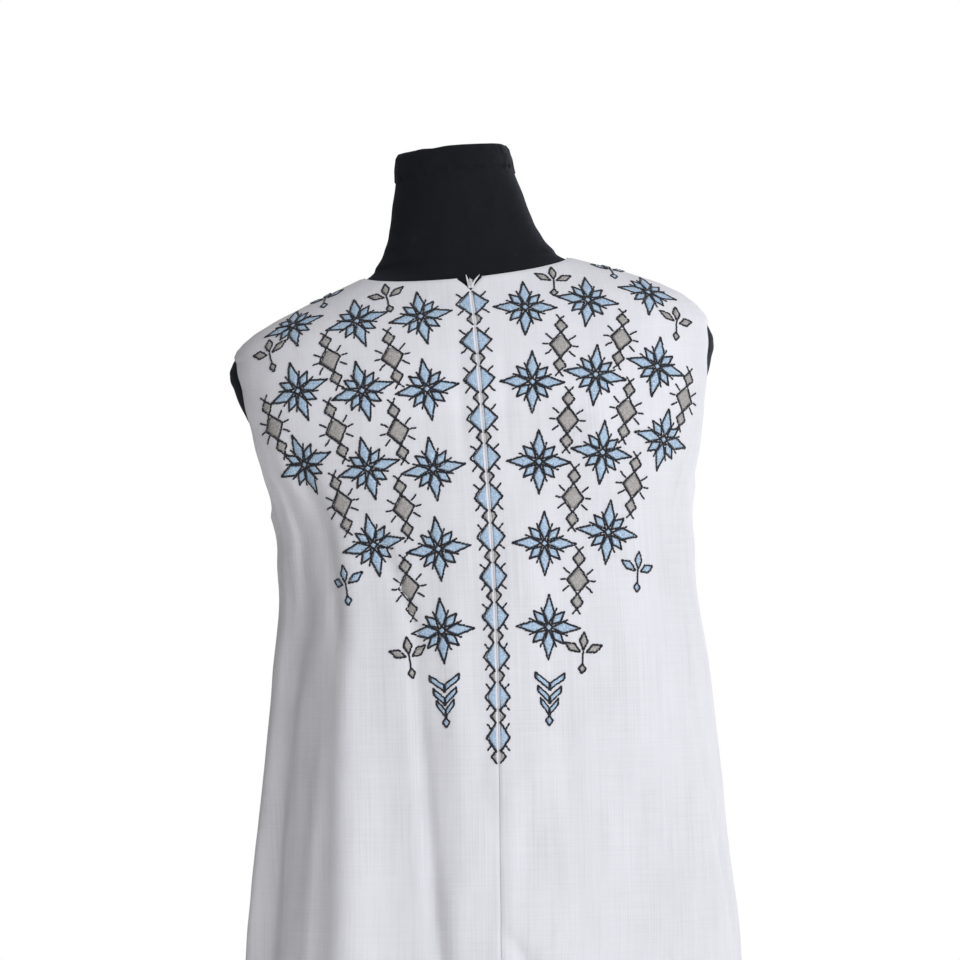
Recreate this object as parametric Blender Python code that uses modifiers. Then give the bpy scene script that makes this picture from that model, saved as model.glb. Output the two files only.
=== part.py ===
"""Sleeveless A-line dress with a centre back zip, on a limbless dress form with a round stand.

Metres, +Z up, the back of the dress towards +Y and the wearer's left towards +X. The origin is the
middle of the base's underside. Angles round the body run from the left side seam (0) over centre
back (90) to the right side seam (180) and on over centre front (270).
"""

import math
from collections import namedtuple

import bmesh
import bpy
import numpy as np
from mathutils import Matrix, Vector

# Cloth
CLOTH_THICK = 0.0015
SEAM_GAP = 0.0003
HEM_HEIGHT = 0.420
UNDERARM_HEIGHT = 1.190
SHOULDER_TIP_HEIGHT = 1.3366
NECK_POINT_HEIGHT = 1.3936
NECK_HALF_WIDTH = 0.0884
BACK_NECK_DROP = 0.0126
FRONT_NECK_DROP = 0.0816
BACK_ARMHOLE_ANGLE = math.radians(24.5)
FRONT_ARMHOLE_ANGLE = math.radians(29.0)

# Zip, an invisible one of 55 cm that ends in an open V at the neckline
ZIP_END_HEIGHT = 0.826
V_FOOT_HEIGHT = 1.368
V_HALF_WIDTH = 0.0085
V_POWER = 1.2
TAPE_WIDTH = 0.012
TAPE_THICK = 0.001
TAPE_DEPTH = CLOTH_THICK / 2 + SEAM_GAP + TAPE_THICK / 2
SLIDER_HEIGHT = 1.3750
SLIDER_WIDTH = 0.0044
SLIDER_LENGTH = 0.0090
SLIDER_THICK = 0.0018
SLIDER_EDGE = 0.0004
BRIDGE_RADIUS = 0.0015
BRIDGE_WIRE = 0.00035
PULL_OUT = 0.0014
PULL_ABOVE_SLIDER = 0.0019
PULL_LENGTH = 0.0062
PULL_HALF_WIDTH = 0.0018
PULL_TOP_HALF_WIDTH = 0.0014
PULL_THICK = 0.0007
PULL_CORNER = 0.0004
PULL_BAR = 0.00045
PULL_HOLE_HALF_WIDTH = 0.0007
PULL_HOLE_END = 0.0023
TANGENT_STEP = 1e-4

# Form and stand
FORM_FOOT_HEIGHT = 0.745
FORM_RING_STEP = 0.030
FORM_RING_POINTS = 36
LEAN = 0.065
FORM_LEAN_FULL = 0.845
CLOTH_LEAN_START = 0.950
CLOTH_LEAN_FULL = 1.250
LEAN_CENTRE = (FORM_FOOT_HEIGHT + FORM_LEAN_FULL) / 2
BASE_RADIUS = 0.190
BASE_THICK = 0.008
BASE_ROUND = 0.003
BOSS_RADIUS = 0.024
BOSS_HEIGHT = 0.036
BOSS_ROUND = 0.004
POLE_RADIUS = 0.0125
COLLAR_RADIUS = 0.045
COLLAR_THICK = 0.007
COLLAR_HUB_RADIUS = 0.019
COLLAR_HUB_LENGTH = 0.040
TURNED_STEPS = 48
SHARP_EDGE = math.radians(50)

# Grid of a half panel
SKIRT_ROWS = 8
BODICE_ROWS = 7
BACK_CENTRE_ROWS = 8
FRONT_CENTRE_ROWS = 6
V_ROWS = 3
BACK_NECK_ROWS = 7
BACK_NECK_POWER = 2
FRONT_NECK_ROWS = 11
FRONT_NECK_POWER = 2.4
PANEL_COLUMNS = 16

# A section is an oval: half_width sideways, back and front from the side seams' plane, and square is
# how far its corners fill out, 0 for an ellipse.
Section = namedtuple("Section", "height half_width back front square")
DRESS_SECTIONS = [
    Section(0.4200, 0.2500, 0.1600, 0.1660, 0.25),
    Section(0.6000, 0.2310, 0.1500, 0.1570, 0.27),
    Section(0.8050, 0.2110, 0.1390, 0.1470, 0.30),
    Section(0.9500, 0.1965, 0.1290, 0.1390, 0.32),
    Section(1.0500, 0.1860, 0.1210, 0.1330, 0.35),
    Section(1.1450, 0.1785, 0.1135, 0.1290, 0.40),
    Section(1.1900, 0.1815, 0.1085, 0.1255, 0.45),
    Section(1.2300, 0.1945, 0.1045, 0.1190, 0.50),
    Section(1.2650, 0.2030, 0.0995, 0.1110, 0.50),
    Section(1.3000, 0.2058, 0.0925, 0.1005, 0.50),
    Section(1.3244, 0.2050, 0.0845, 0.0915, 0.40),
    Section(1.3366, 0.2020, 0.0795, 0.0865, 0.30),
    Section(1.3414, 0.1980, 0.0775, 0.0845, 0.25),
    Section(1.3489, 0.1900, 0.0740, 0.0810, 0.18),
    Section(1.3586, 0.1750, 0.0685, 0.0770, 0.10),
    Section(1.3703, 0.1500, 0.0615, 0.0720, 0.00),
    Section(1.3821, 0.1200, 0.0545, 0.0680, 0.00),
    Section(1.3936, 0.0884, 0.0475, 0.0640, 0.00),
]
FORM_SECTIONS = [
    Section(0.7450, 0.1500, 0.1000, 0.0900, 0.20),
    Section(0.7550, 0.1560, 0.1050, 0.0940, 0.20),
    Section(0.8000, 0.1660, 0.1120, 0.1000, 0.20),
    Section(0.8600, 0.1680, 0.1130, 0.1020, 0.20),
    Section(0.9500, 0.1430, 0.0920, 0.0980, 0.15),
    Section(1.0200, 0.1200, 0.0760, 0.0940, 0.10),
    Section(1.0900, 0.1310, 0.0800, 0.1060, 0.10),
    Section(1.1500, 0.1460, 0.0890, 0.1170, 0.10),
    Section(1.2000, 0.1580, 0.0960, 0.1130, 0.00),
    Section(1.2400, 0.1770, 0.0955, 0.1070, -0.10),
    Section(1.2790, 0.1970, 0.0910, 0.0980, -0.20),
    Section(1.3030, 0.2055, 0.0855, 0.0920, -0.25),
    Section(1.3150, 0.2082, 0.0812, 0.0880, -0.35),
    Section(1.3244, 0.2060, 0.0775, 0.0850, -0.35),
    Section(1.3300, 0.2032, 0.0755, 0.0830, -0.30),
    Section(1.3366, 0.1992, 0.0725, 0.0800, -0.10),
    Section(1.3414, 0.1957, 0.0720, 0.0800, 0.05),
    Section(1.3489, 0.1871, 0.0690, 0.0765, 0.08),
    Section(1.3586, 0.1713, 0.0637, 0.0727, 0.05),
    Section(1.3703, 0.1457, 0.0567, 0.0678, 0.00),
    Section(1.3821, 0.1155, 0.0497, 0.0638, 0.00),
    Section(1.3936, 0.0843, 0.0435, 0.0600, 0.00),
    Section(1.4021, 0.0765, 0.0425, 0.0585, 0.00),
    Section(1.4174, 0.0668, 0.0405, 0.0570, 0.00),
    Section(1.4327, 0.0612, 0.0390, 0.0560, 0.00),
    Section(1.4530, 0.0563, 0.0380, 0.0550, 0.00),
    Section(1.4735, 0.0508, 0.0373, 0.0545, 0.00),
    Section(1.4900, 0.0480, 0.0365, 0.0530, 0.00),
    Section(1.4955, 0.0455, 0.0340, 0.0505, 0.00),
]

# A fold hangs from top_height to the hem. Its angle moves from top_angle to hem_angle, its depth at
# the hem is outwards where positive, and spread is its half width along the cloth.
Fold = namedtuple("Fold", "top_height top_angle hem_angle depth spread")
FOLDS = [
    Fold(1.230, 42, 20, -0.0140, 0.038),
    Fold(1.180, 60, 58, 0.0110, 0.048),
    Fold(1.130, 71, 82, -0.0100, 0.026),
    Fold(1.060, 87, 95, 0.0065, 0.030),
    Fold(1.000, 108, 114, -0.0060, 0.034),
    Fold(1.080, 122, 134, 0.0085, 0.044),
    Fold(1.120, 144, 155, -0.0080, 0.038),
    Fold(1.160, 206, 203, -0.0120, 0.040),
    Fold(1.140, 226, 224, 0.0110, 0.044),
    Fold(1.100, 244, 249, -0.0100, 0.034),
    Fold(1.020, 268, 272, 0.0070, 0.042),
    Fold(1.090, 293, 297, -0.0110, 0.036),
    Fold(1.150, 312, 318, 0.0120, 0.046),
    Fold(1.180, 334, 340, -0.0110, 0.038),
]
FOLD_GROWTH = 1.15
FOLD_RADIUS = 0.19


def read_sections(sections, height):
    """The table's columns at any heights, on cubics through the rows. The slope at a row is the
    slope there of the parabola through it and its two neighbours."""
    table = np.array(sections)
    rows, values = table[:, 0], table[:, 1:]
    step = np.diff(rows)[:, None]
    rise = np.diff(values, axis=0) / step
    inner = (step[:-1] * rise[1:] + step[1:] * rise[:-1]) / (step[:-1] + step[1:])
    slope = np.concatenate([rise[:1], inner, rise[-1:]])
    height = np.clip(np.asarray(height, float), rows[0], rows[-1])
    low = np.clip(np.searchsorted(rows, height) - 1, 0, len(rows) - 2)
    gap = (rows[low + 1] - rows[low])[..., None]
    t = (height - rows[low])[..., None] / gap
    near = values[low] + t * gap * slope[low]
    far = values[low + 1] - (1 - t) * gap * slope[low + 1]
    blend = t * t * (3 - 2 * t)
    curve = near * (1 - blend) + far * blend
    return [curve[..., column] for column in range(values.shape[1])]


def smooth(t):
    """0 up to t = 0, 1 from t = 1, and 3t^2 - 2t^3 between."""
    t = np.clip(t, 0, 1)
    return t * t * (3 - 2 * t)


def leaned(points, start, full):
    """The points with the form's lean to the wearer's left, which grows smoothly from none at the
    height start to LEAN at the height full. x moves by the lean summed up to the point's height,
    and z drops by x times the lean."""
    x, y, z = points[..., 0], points[..., 1], points[..., 2]
    t = np.clip((z - start) / (full - start), 0, 1)
    grown = (full - start) * (t**3 - t**4 / 2) + np.maximum(z - full, 0)
    shift = LEAN * (grown + (start + full) / 2 - LEAN_CENTRE)
    return np.stack([x + shift, y, z - x * LEAN * smooth(t)], axis=-1)


def fold_depth(angle, height):
    """How far the folds move the cloth outwards: for each, a bell across it, exp(-(distance / spread)^2),
    times its depth, which grows from its top to the hem."""
    depth = np.zeros(np.broadcast(angle, height).shape)
    for fold in FOLDS:
        down = np.clip((fold.top_height - height) / (fold.top_height - HEM_HEIGHT), 0, 1)
        middle = np.radians(fold.top_angle + (fold.hem_angle - fold.top_angle) * down)
        away = (angle - middle + math.pi) % (2 * math.pi) - math.pi
        depth += fold.depth * down**FOLD_GROWTH * np.exp(-((away * FOLD_RADIUS / fold.spread) ** 2))
    return depth


def dress_point(angle, height):
    """Middle of the cloth: x = half_width cos a sqrt(1 + square sin^2 a), y = depth sin a, moved
    outwards by the folds and then leaned with the form."""
    half_width, back, front, square = read_sections(DRESS_SECTIONS, height)
    depth = np.where(np.sin(angle) > 0, back, front)
    x = half_width * np.cos(angle) * np.sqrt(1 + square * np.sin(angle) ** 2)
    y = depth * np.sin(angle)
    out_x, out_y = np.cos(angle) / half_width, np.sin(angle) / depth
    reach = fold_depth(angle, height) / np.hypot(out_x, out_y)
    points = np.stack([x + out_x * reach, y + out_y * reach, height + 0 * x], axis=-1)
    return leaned(points, CLOTH_LEAN_START, CLOTH_LEAN_FULL)


def dress_normal(angle, height):
    """Outward unit normal of the cloth, from its two tangents."""
    across = dress_point(angle + TANGENT_STEP, height) - dress_point(angle - TANGENT_STEP, height)
    up = dress_point(angle, height + TANGENT_STEP) - dress_point(angle, height - TANGENT_STEP)
    normal = np.cross(across, up)
    return normal / np.linalg.norm(normal, axis=-1, keepdims=True)


def angle_from_side(x, height):
    """Angle from the side seam of the cloth point that lies x from the middle at this height, the
    upright section's formula solved for the angle."""
    half_width, _, _, square = read_sections(DRESS_SECTIONS, height)
    ratio = np.clip(x / half_width, 0, 1)
    root = np.sqrt((1 + square) ** 2 - 4 * square * ratio**2)
    return np.arccos(np.clip(np.sqrt(2 * ratio**2 / (1 + square + root)), 0, 1))


def seam_angle(height, front):
    """Half the seam gap, as an angle at the side seam."""
    _, back_depth, front_depth, _ = read_sections(DRESS_SECTIONS, height)
    return SEAM_GAP / 2 / (front_depth if front else back_depth)


def half_panel(front):
    """Angles from the side seam and heights of a half panel's grid, rows from the hem to the
    shoulder seam and columns from the centre to the side. Each row is a straight run in angle and
    height from the centre line or the neckline to the side seam or the armhole."""
    low = np.concatenate([
        np.linspace(HEM_HEIGHT, ZIP_END_HEIGHT, SKIRT_ROWS + 1)[:-1],
        np.linspace(ZIP_END_HEIGHT, UNDERARM_HEIGHT, BODICE_ROWS + 1)[:-1],
    ])
    neck_drop = FRONT_NECK_DROP if front else BACK_NECK_DROP
    neck_top = NECK_POINT_HEIGHT - neck_drop
    if front:
        centre = np.linspace(UNDERARM_HEIGHT, neck_top, FRONT_CENTRE_ROWS + 1)
        opening = np.zeros(len(centre))
    else:
        centre = np.concatenate([
            np.linspace(UNDERARM_HEIGHT, V_FOOT_HEIGHT, BACK_CENTRE_ROWS + 1),
            np.linspace(V_FOOT_HEIGHT, neck_top, V_ROWS + 1)[1:],
        ])
        t = np.clip((centre - V_FOOT_HEIGHT) / (neck_top - V_FOOT_HEIGHT), 0, 1)
        opening = SEAM_GAP / 2 + V_HALF_WIDTH * t**V_POWER
    neck_rows = FRONT_NECK_ROWS if front else BACK_NECK_ROWS
    neck_power = FRONT_NECK_POWER if front else BACK_NECK_POWER
    turn = math.acos(opening[-1] / NECK_HALF_WIDTH) * np.linspace(1, 0, neck_rows + 1)[1:] ** neck_power
    neck_height = NECK_POINT_HEIGHT - neck_drop * np.sin(turn)
    neck_angle = angle_from_side(NECK_HALF_WIDTH * np.cos(turn), neck_height)
    neck_angle[-1] = seam_angle(neck_height[-1], front)
    inner_height = np.concatenate([low, centre, neck_height])
    centre_angle = angle_from_side(opening, centre)
    low_opening = 0 if front else SEAM_GAP / 2
    inner_angle = np.concatenate([angle_from_side(low_opening, low), centre_angle, neck_angle])

    upper_rows = len(inner_height) - len(low)
    sweep = np.linspace(0, math.pi, upper_rows)
    middle = (SHOULDER_TIP_HEIGHT + UNDERARM_HEIGHT) / 2
    reach = (SHOULDER_TIP_HEIGHT - UNDERARM_HEIGHT) / 2
    armhole_height = middle - reach * np.cos(sweep)
    armhole_angle = (FRONT_ARMHOLE_ANGLE if front else BACK_ARMHOLE_ANGLE) * np.sin(sweep)
    outer_height = np.concatenate([low, armhole_height])
    outer_angle = np.concatenate([0 * low, armhole_angle]) + seam_angle(outer_height, front)

    across = np.linspace(0, 1, PANEL_COLUMNS + 1)
    angle = inner_angle[:, None] * (1 - across) + outer_angle[:, None] * across
    height = inner_height[:, None] * (1 - across) + outer_height[:, None] * across
    return angle, height


def grid_faces(index):
    """Four-sided faces over a grid of vertex numbers."""
    return np.stack([index[:-1, :-1], index[:-1, 1:], index[1:, 1:], index[1:, :-1]], axis=-1).reshape(-1, 4)


def new_object(name, mesh, material):
    thing = bpy.data.objects.new(name, mesh)
    mesh.materials.append(material)
    parts.objects.link(thing)
    return thing


def cloth_wall(name, points, faces, thick, material):
    """An open surface made a wall, half its thickness to each side."""
    mesh = bpy.data.meshes.new(name)
    mesh.from_pydata(points.tolist(), [], faces.tolist())
    mesh.shade_smooth()
    wall = new_object(name, mesh, material)
    solidify = wall.modifiers.new("Wall", "SOLIDIFY")
    solidify.thickness = thick
    solidify.offset = 0
    return wall


def dress_back(name, side, material):
    """Half the back: side is 1 on the wearer's left and -1 on the right."""
    from_side, height = half_panel(front=False)
    angle = from_side if side > 0 else math.pi - from_side
    points = dress_point(angle, height)
    index = np.arange(angle.size).reshape(angle.shape)
    faces = grid_faces(index)[:, ::-side]
    return cloth_wall(name, points.reshape(-1, 3), faces, CLOTH_THICK, material)


def dress_front(name, material):
    """Both halves of the front in one, which share the centre front up to the neckline."""
    from_side, height = half_panel(front=True)
    left = dress_point(-from_side, height)
    right = dress_point(math.pi + from_side, height)
    left_index = np.arange(from_side.size).reshape(from_side.shape)
    right_index = left_index + from_side.size
    shared = SKIRT_ROWS + BODICE_ROWS + FRONT_CENTRE_ROWS + 1
    right_index[:shared, 0] = left_index[:shared, 0]
    faces = np.concatenate([grid_faces(left_index), grid_faces(right_index)[:, ::-1]])
    used, faces = np.unique(faces, return_inverse=True)
    points = np.concatenate([left.reshape(-1, 3), right.reshape(-1, 3)])[used]
    return cloth_wall(name, points, faces.reshape(-1, 4)[:, ::-1], CLOTH_THICK, material)


def zip_tape(name, side, material):
    """A tape behind the back panel's edge, from the panel's own points between the zip's end and
    the foot of the V, moved inwards."""
    from_side, height = half_panel(front=False)
    rows = slice(SKIRT_ROWS, SKIRT_ROWS + BODICE_ROWS + BACK_CENTRE_ROWS + 1)
    from_side, height = from_side[rows, :2], height[rows, :2]
    angle = from_side if side > 0 else math.pi - from_side
    panel = dress_point(angle, height) - TAPE_DEPTH * dress_normal(angle, height)
    run = panel[:, 1] - panel[:, 0]
    share = TAPE_WIDTH / np.linalg.norm(run, axis=-1, keepdims=True)
    points = np.stack([panel[:, 0], panel[:, 0] + run * share], axis=1)
    index = np.arange(len(points) * 2).reshape(-1, 2)
    faces = grid_faces(index)[:, ::-side]
    return cloth_wall(name, points.reshape(-1, 3), faces, TAPE_THICK, material)


def zip_frame(height):
    """Matrix at centre back on the cloth: X across to the wearer's left, Y outwards, Z up the cloth."""
    at = dress_point(math.pi / 2, height)
    above = dress_point(math.pi / 2, height + TANGENT_STEP)
    up = Vector(above - at).normalized()
    across = Vector((1, 0, -LEAN)).normalized()
    across = (across - up * across.dot(up)).normalized()
    out = up.cross(across)
    return Matrix.Translation(Vector(at)) @ Matrix((across, out, up)).transposed().to_4x4()


def poly_curve(name, outlines, fill_both):
    """A curve object of closed flat outlines, or of one open path, given as lists of x, y, z."""
    curve = bpy.data.curves.new(name, "CURVE")
    curve.dimensions = "2D" if fill_both else "3D"
    curve.fill_mode = "BOTH" if fill_both else "FULL"
    for outline in outlines:
        spline = curve.splines.new("POLY")
        spline.points.add(len(outline) - 1)
        for point, place in zip(spline.points, outline):
            point.co = (*place, 1)
        spline.use_cyclic_u = fill_both
    return bpy.data.objects.new(name, curve)


def as_mesh_object(curve_object, name):
    """The curve made a mesh, with its caps welded, and the curve removed."""
    parts.objects.link(curve_object)
    depsgraph = bpy.context.evaluated_depsgraph_get()
    mesh = bpy.data.meshes.new_from_object(curve_object.evaluated_get(depsgraph))
    made = bpy.data.objects.new(name, mesh)
    made.matrix_world = curve_object.matrix_world
    bpy.data.objects.remove(curve_object)
    shape = bmesh.new()
    shape.from_mesh(mesh)
    bmesh.ops.remove_doubles(shape, verts=shape.verts, dist=1e-6)
    shape.to_mesh(mesh)
    shape.free()
    return made


def zip_slider(material):
    """Slider body behind the cloth, with a wire bridge that comes out through the V."""
    frame = zip_frame(SLIDER_HEIGHT)
    face = -CLOTH_THICK / 2 - SEAM_GAP
    shape = bmesh.new()
    bmesh.ops.create_cube(shape, size=1)
    bmesh.ops.scale(shape, vec=(SLIDER_WIDTH, SLIDER_THICK, SLIDER_LENGTH), verts=shape.verts)
    bmesh.ops.translate(shape, vec=(0, face - SLIDER_THICK / 2, 0), verts=shape.verts)
    mesh = bpy.data.meshes.new("zip_slider")
    shape.to_mesh(mesh)
    shape.free()
    slider = new_object("zip_slider", mesh, material)
    slider.matrix_world = frame
    edge = slider.modifiers.new("Edge", "BEVEL")
    edge.width = SLIDER_EDGE
    edge.segments = 2

    sunk = face - SLIDER_THICK / 2
    path = [(0, sunk, PULL_ABOVE_SLIDER - BRIDGE_RADIUS)]
    for turn in np.radians(np.linspace(-90, 90, 10)):
        out = PULL_OUT + BRIDGE_RADIUS * math.cos(turn)
        path.append((0, out, PULL_ABOVE_SLIDER + BRIDGE_RADIUS * math.sin(turn)))
    path.append((0, sunk, PULL_ABOVE_SLIDER + BRIDGE_RADIUS))
    wire = poly_curve("bridge_wire", [path], fill_both=False)
    wire.data.bevel_depth = BRIDGE_WIRE
    wire.data.bevel_resolution = 2
    wire.data.use_fill_caps = True
    wire.matrix_world = frame
    bridge = as_mesh_object(wire, "bridge")
    cutters.objects.link(bridge)
    bridge.hide_render = True
    bridge.display_type = "WIRE"
    join = slider.modifiers.new("Bridge", "BOOLEAN")
    join.operation = "UNION"
    join.object = bridge
    return slider


def arc_points(centre_x, centre_y, radius, start, end, count):
    """Points on an arc, the angles in degrees."""
    turn = np.radians(np.linspace(start, end, count))
    return [(centre_x + radius * math.cos(a), centre_y + radius * math.sin(a), 0) for a in turn]


def zip_pull(material):
    """A small tab, widest at its round foot, whose top bar hangs in the bridge. Its origin is on
    the bar's axis."""
    corner_x = PULL_TOP_HALF_WIDTH - PULL_CORNER
    corner_y = PULL_BAR - PULL_CORNER
    foot_y = -(PULL_LENGTH - PULL_HALF_WIDTH)
    outline = [
        *arc_points(corner_x, corner_y, PULL_CORNER, 0, 90, 4),
        *arc_points(-corner_x, corner_y, PULL_CORNER, 90, 180, 4),
        *arc_points(0, foot_y, PULL_HALF_WIDTH, 180, 360, 13),
    ]
    hole = [
        (PULL_HOLE_HALF_WIDTH, -PULL_BAR, 0),
        (PULL_HOLE_HALF_WIDTH, -PULL_HOLE_END, 0),
        (-PULL_HOLE_HALF_WIDTH, -PULL_HOLE_END, 0),
        (-PULL_HOLE_HALF_WIDTH, -PULL_BAR, 0),
    ]
    flat = poly_curve("pull_outline", [outline, hole], fill_both=True)
    flat.data.extrude = PULL_THICK / 2
    lay = Matrix(((1, 0, 0, 0), (0, 0, -1, 0), (0, 1, 0, 0), (0, 0, 0, 1)))
    hinge = Matrix.Translation((0, PULL_OUT, PULL_ABOVE_SLIDER))
    flat.matrix_world = zip_frame(SLIDER_HEIGHT) @ hinge @ lay
    pull = as_mesh_object(flat, "zip_pull")
    pull.data.materials.clear()
    pull.data.materials.append(material)
    parts.objects.link(pull)
    return pull


def form_torso(material):
    """The form's body, a loft of ovals from its flat underside to the top of the neck."""
    table = np.array(FORM_SECTIONS)
    heights = [table[0, 0]]
    for low, high in zip(table[:-1, 0], table[1:, 0]):
        count = math.ceil((high - low) / FORM_RING_STEP)
        heights.extend(np.linspace(low, high, count + 1)[1:])
    height = np.array(heights)[:, None]
    angle = np.linspace(0, 2 * math.pi, FORM_RING_POINTS, endpoint=False)[None, :]
    half_width, back, front, square = read_sections(FORM_SECTIONS, height + 0 * angle)
    x = half_width * np.cos(angle) * np.sqrt(1 + square * np.sin(angle) ** 2)
    y = np.where(np.sin(angle) > 0, back, front) * np.sin(angle)
    rings = np.stack([x, y, height + 0 * x], axis=-1)
    points = leaned(rings, FORM_FOOT_HEIGHT, FORM_LEAN_FULL)
    index = np.arange(x.size).reshape(x.shape)
    faces = grid_faces(np.concatenate([index, index[:, :1]], axis=1)).tolist()
    faces += [index[0, ::-1].tolist(), index[-1].tolist()]
    mesh = bpy.data.meshes.new("form_torso")
    mesh.from_pydata(points.reshape(-1, 3).tolist(), [], faces)
    mesh.shade_smooth()
    mesh.set_sharp_from_angle(angle=SHARP_EDGE)
    return new_object("form_torso", mesh, material)


def turned(name, profile, material):
    """A turned solid: the profile of radius and height, from the axis at the top round its outer
    side to the axis at the bottom, swept round Z."""
    mesh = bpy.data.meshes.new(name)
    mesh.from_pydata([(r, 0, z) for r, z in profile], [(i, i + 1) for i in range(len(profile) - 1)], [])
    solid = new_object(name, mesh, material)
    screw = solid.modifiers.new("Turn", "SCREW")
    screw.steps = TURNED_STEPS
    screw.render_steps = TURNED_STEPS
    screw.use_merge_vertices = True
    screw.merge_threshold = 0.0001
    screw.use_smooth_shade = True
    return solid


def rounded(radius, height, bend, start, end):
    """Five points of a round edge whose circle has this centre and bend."""
    turn = np.radians(np.linspace(start, end, 5))
    return [(radius + bend * math.cos(a), height + bend * math.sin(a)) for a in turn]


def stand_base(material):
    """Round base plate with a rounded upper edge."""
    profile = [
        (0, BASE_THICK),
        *rounded(BASE_RADIUS - BASE_ROUND, BASE_THICK - BASE_ROUND, BASE_ROUND, 90, 0),
        (BASE_RADIUS, 0),
        (0, 0),
    ]
    return turned("stand_base", profile, material)


def stand_boss(material):
    """Boss on the base plate that takes the pole."""
    foot = BASE_THICK + SEAM_GAP
    profile = [
        (0, BOSS_HEIGHT),
        *rounded(BOSS_RADIUS - BOSS_ROUND, BOSS_HEIGHT - BOSS_ROUND, BOSS_ROUND, 90, 0),
        (BOSS_RADIUS, foot),
        (0, foot),
    ]
    return turned("stand_boss", profile, material)


def stand_pole(material):
    """Straight pole between the base's boss and the collar under the form."""
    top = FORM_FOOT_HEIGHT - 2 * SEAM_GAP - COLLAR_THICK - COLLAR_HUB_LENGTH
    bottom = BOSS_HEIGHT + SEAM_GAP
    bpy.ops.mesh.primitive_cylinder_add(vertices=TURNED_STEPS, radius=POLE_RADIUS, depth=top - bottom)
    pole = bpy.context.object
    pole.name = "stand_pole"
    pole.location = (0, 0, (top + bottom) / 2)
    pole.data.shade_smooth()
    pole.data.set_sharp_from_angle(angle=SHARP_EDGE)
    pole.data.materials.append(material)
    for collection in list(pole.users_collection):
        collection.objects.unlink(pole)
    parts.objects.link(pole)
    return pole


def stand_collar(material):
    """Flange under the form with a hub for the pole."""
    top = FORM_FOOT_HEIGHT - SEAM_GAP
    profile = [
        (0, top),
        (COLLAR_RADIUS, top),
        (COLLAR_RADIUS, top - COLLAR_THICK),
        (COLLAR_HUB_RADIUS, top - COLLAR_THICK),
        (COLLAR_HUB_RADIUS, top - COLLAR_THICK - COLLAR_HUB_LENGTH),
        (0, top - COLLAR_THICK - COLLAR_HUB_LENGTH),
    ]
    return turned("stand_collar", profile, material)


def finish(name, colour, roughness, metallic):
    material = bpy.data.materials.new(name)
    material.use_nodes = True
    shader = material.node_tree.nodes["Principled BSDF"]
    shader.inputs["Base Color"].default_value = (*colour, 1)
    shader.inputs["Roughness"].default_value = roughness
    shader.inputs["Metallic"].default_value = metallic
    return material


for thing in list(bpy.data.objects):
    bpy.data.objects.remove(thing)
parts = bpy.data.collections.new("dress_on_form")
cutters = bpy.data.collections.new("cutters")
bpy.context.scene.collection.children.link(parts)
bpy.context.scene.collection.children.link(cutters)

dress_front("dress_front", finish("white_cloth_front", (0.80, 0.80, 0.82), 0.85, 0))
dress_back("dress_back_left", 1, finish("white_cloth_back_left", (0.80, 0.80, 0.82), 0.85, 0))
dress_back("dress_back_right", -1, finish("white_cloth_back_right", (0.80, 0.80, 0.82), 0.85, 0))
zip_tape("zip_tape_left", 1, finish("white_tape_left", (0.78, 0.78, 0.79), 0.7, 0))
zip_tape("zip_tape_right", -1, finish("white_tape_right", (0.78, 0.78, 0.79), 0.7, 0))
zip_slider(finish("slider_metal", (0.62, 0.62, 0.63), 0.35, 1))
zip_pull(finish("pull_metal", (0.66, 0.66, 0.67), 0.3, 1))
form_torso(finish("black_jersey", (0.012, 0.012, 0.014), 0.9, 0))
stand_collar(finish("black_steel_collar", (0.02, 0.02, 0.02), 0.45, 0.6))
stand_pole(finish("steel_pole", (0.5, 0.5, 0.5), 0.3, 1))
stand_base(finish("black_steel_base", (0.02, 0.02, 0.02), 0.45, 0.6))
stand_boss(finish("black_steel_boss", (0.02, 0.02, 0.02), 0.45, 0.6))
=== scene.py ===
"""Looks of a sleeveless A-line dress with an embroidered yoke, on a limbless form with a round stand.

Metres, +Z up, the back of the dress towards +Y and the wearer's left towards +X. Angles round the
body run from the left side seam (0) over centre back (90) to the right side seam (180) and on over
centre front (270).
"""
import math
from collections import namedtuple

import bpy
import numpy as np
from mathutils import Matrix, Vector


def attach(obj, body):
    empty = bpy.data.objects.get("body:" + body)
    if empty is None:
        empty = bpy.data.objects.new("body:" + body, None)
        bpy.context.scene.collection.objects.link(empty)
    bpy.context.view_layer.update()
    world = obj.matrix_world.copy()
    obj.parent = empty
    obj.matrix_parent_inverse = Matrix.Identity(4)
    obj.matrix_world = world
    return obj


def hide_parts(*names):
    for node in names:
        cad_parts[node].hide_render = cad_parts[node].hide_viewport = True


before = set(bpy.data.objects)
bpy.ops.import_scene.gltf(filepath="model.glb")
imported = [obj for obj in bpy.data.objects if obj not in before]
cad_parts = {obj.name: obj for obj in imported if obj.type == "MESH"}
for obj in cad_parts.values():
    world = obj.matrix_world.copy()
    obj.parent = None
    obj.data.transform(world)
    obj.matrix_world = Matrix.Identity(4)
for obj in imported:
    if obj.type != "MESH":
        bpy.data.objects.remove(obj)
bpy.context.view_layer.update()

# Cloth, with the same sizes as the solids
CLOTH_THICK = 0.0015
SHELL_THICK = 0.0007
SHELL_GAP = 0.0001
SEAM_GAP = 0.0003
HEM_HEIGHT = 0.420
UNDERARM_HEIGHT = 1.190
SHOULDER_TIP_HEIGHT = 1.3366
NECK_POINT_HEIGHT = 1.3936
NECK_HALF_WIDTH = 0.0884
BACK_NECK_DROP = 0.0145
FRONT_NECK_DROP = 0.0816
BACK_ARMHOLE_ANGLE = math.radians(24.5)
FRONT_ARMHOLE_ANGLE = math.radians(29.0)
FRONT_NECK_POWER = 2.4
BACK_NECK_POWER = 2.0

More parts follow.
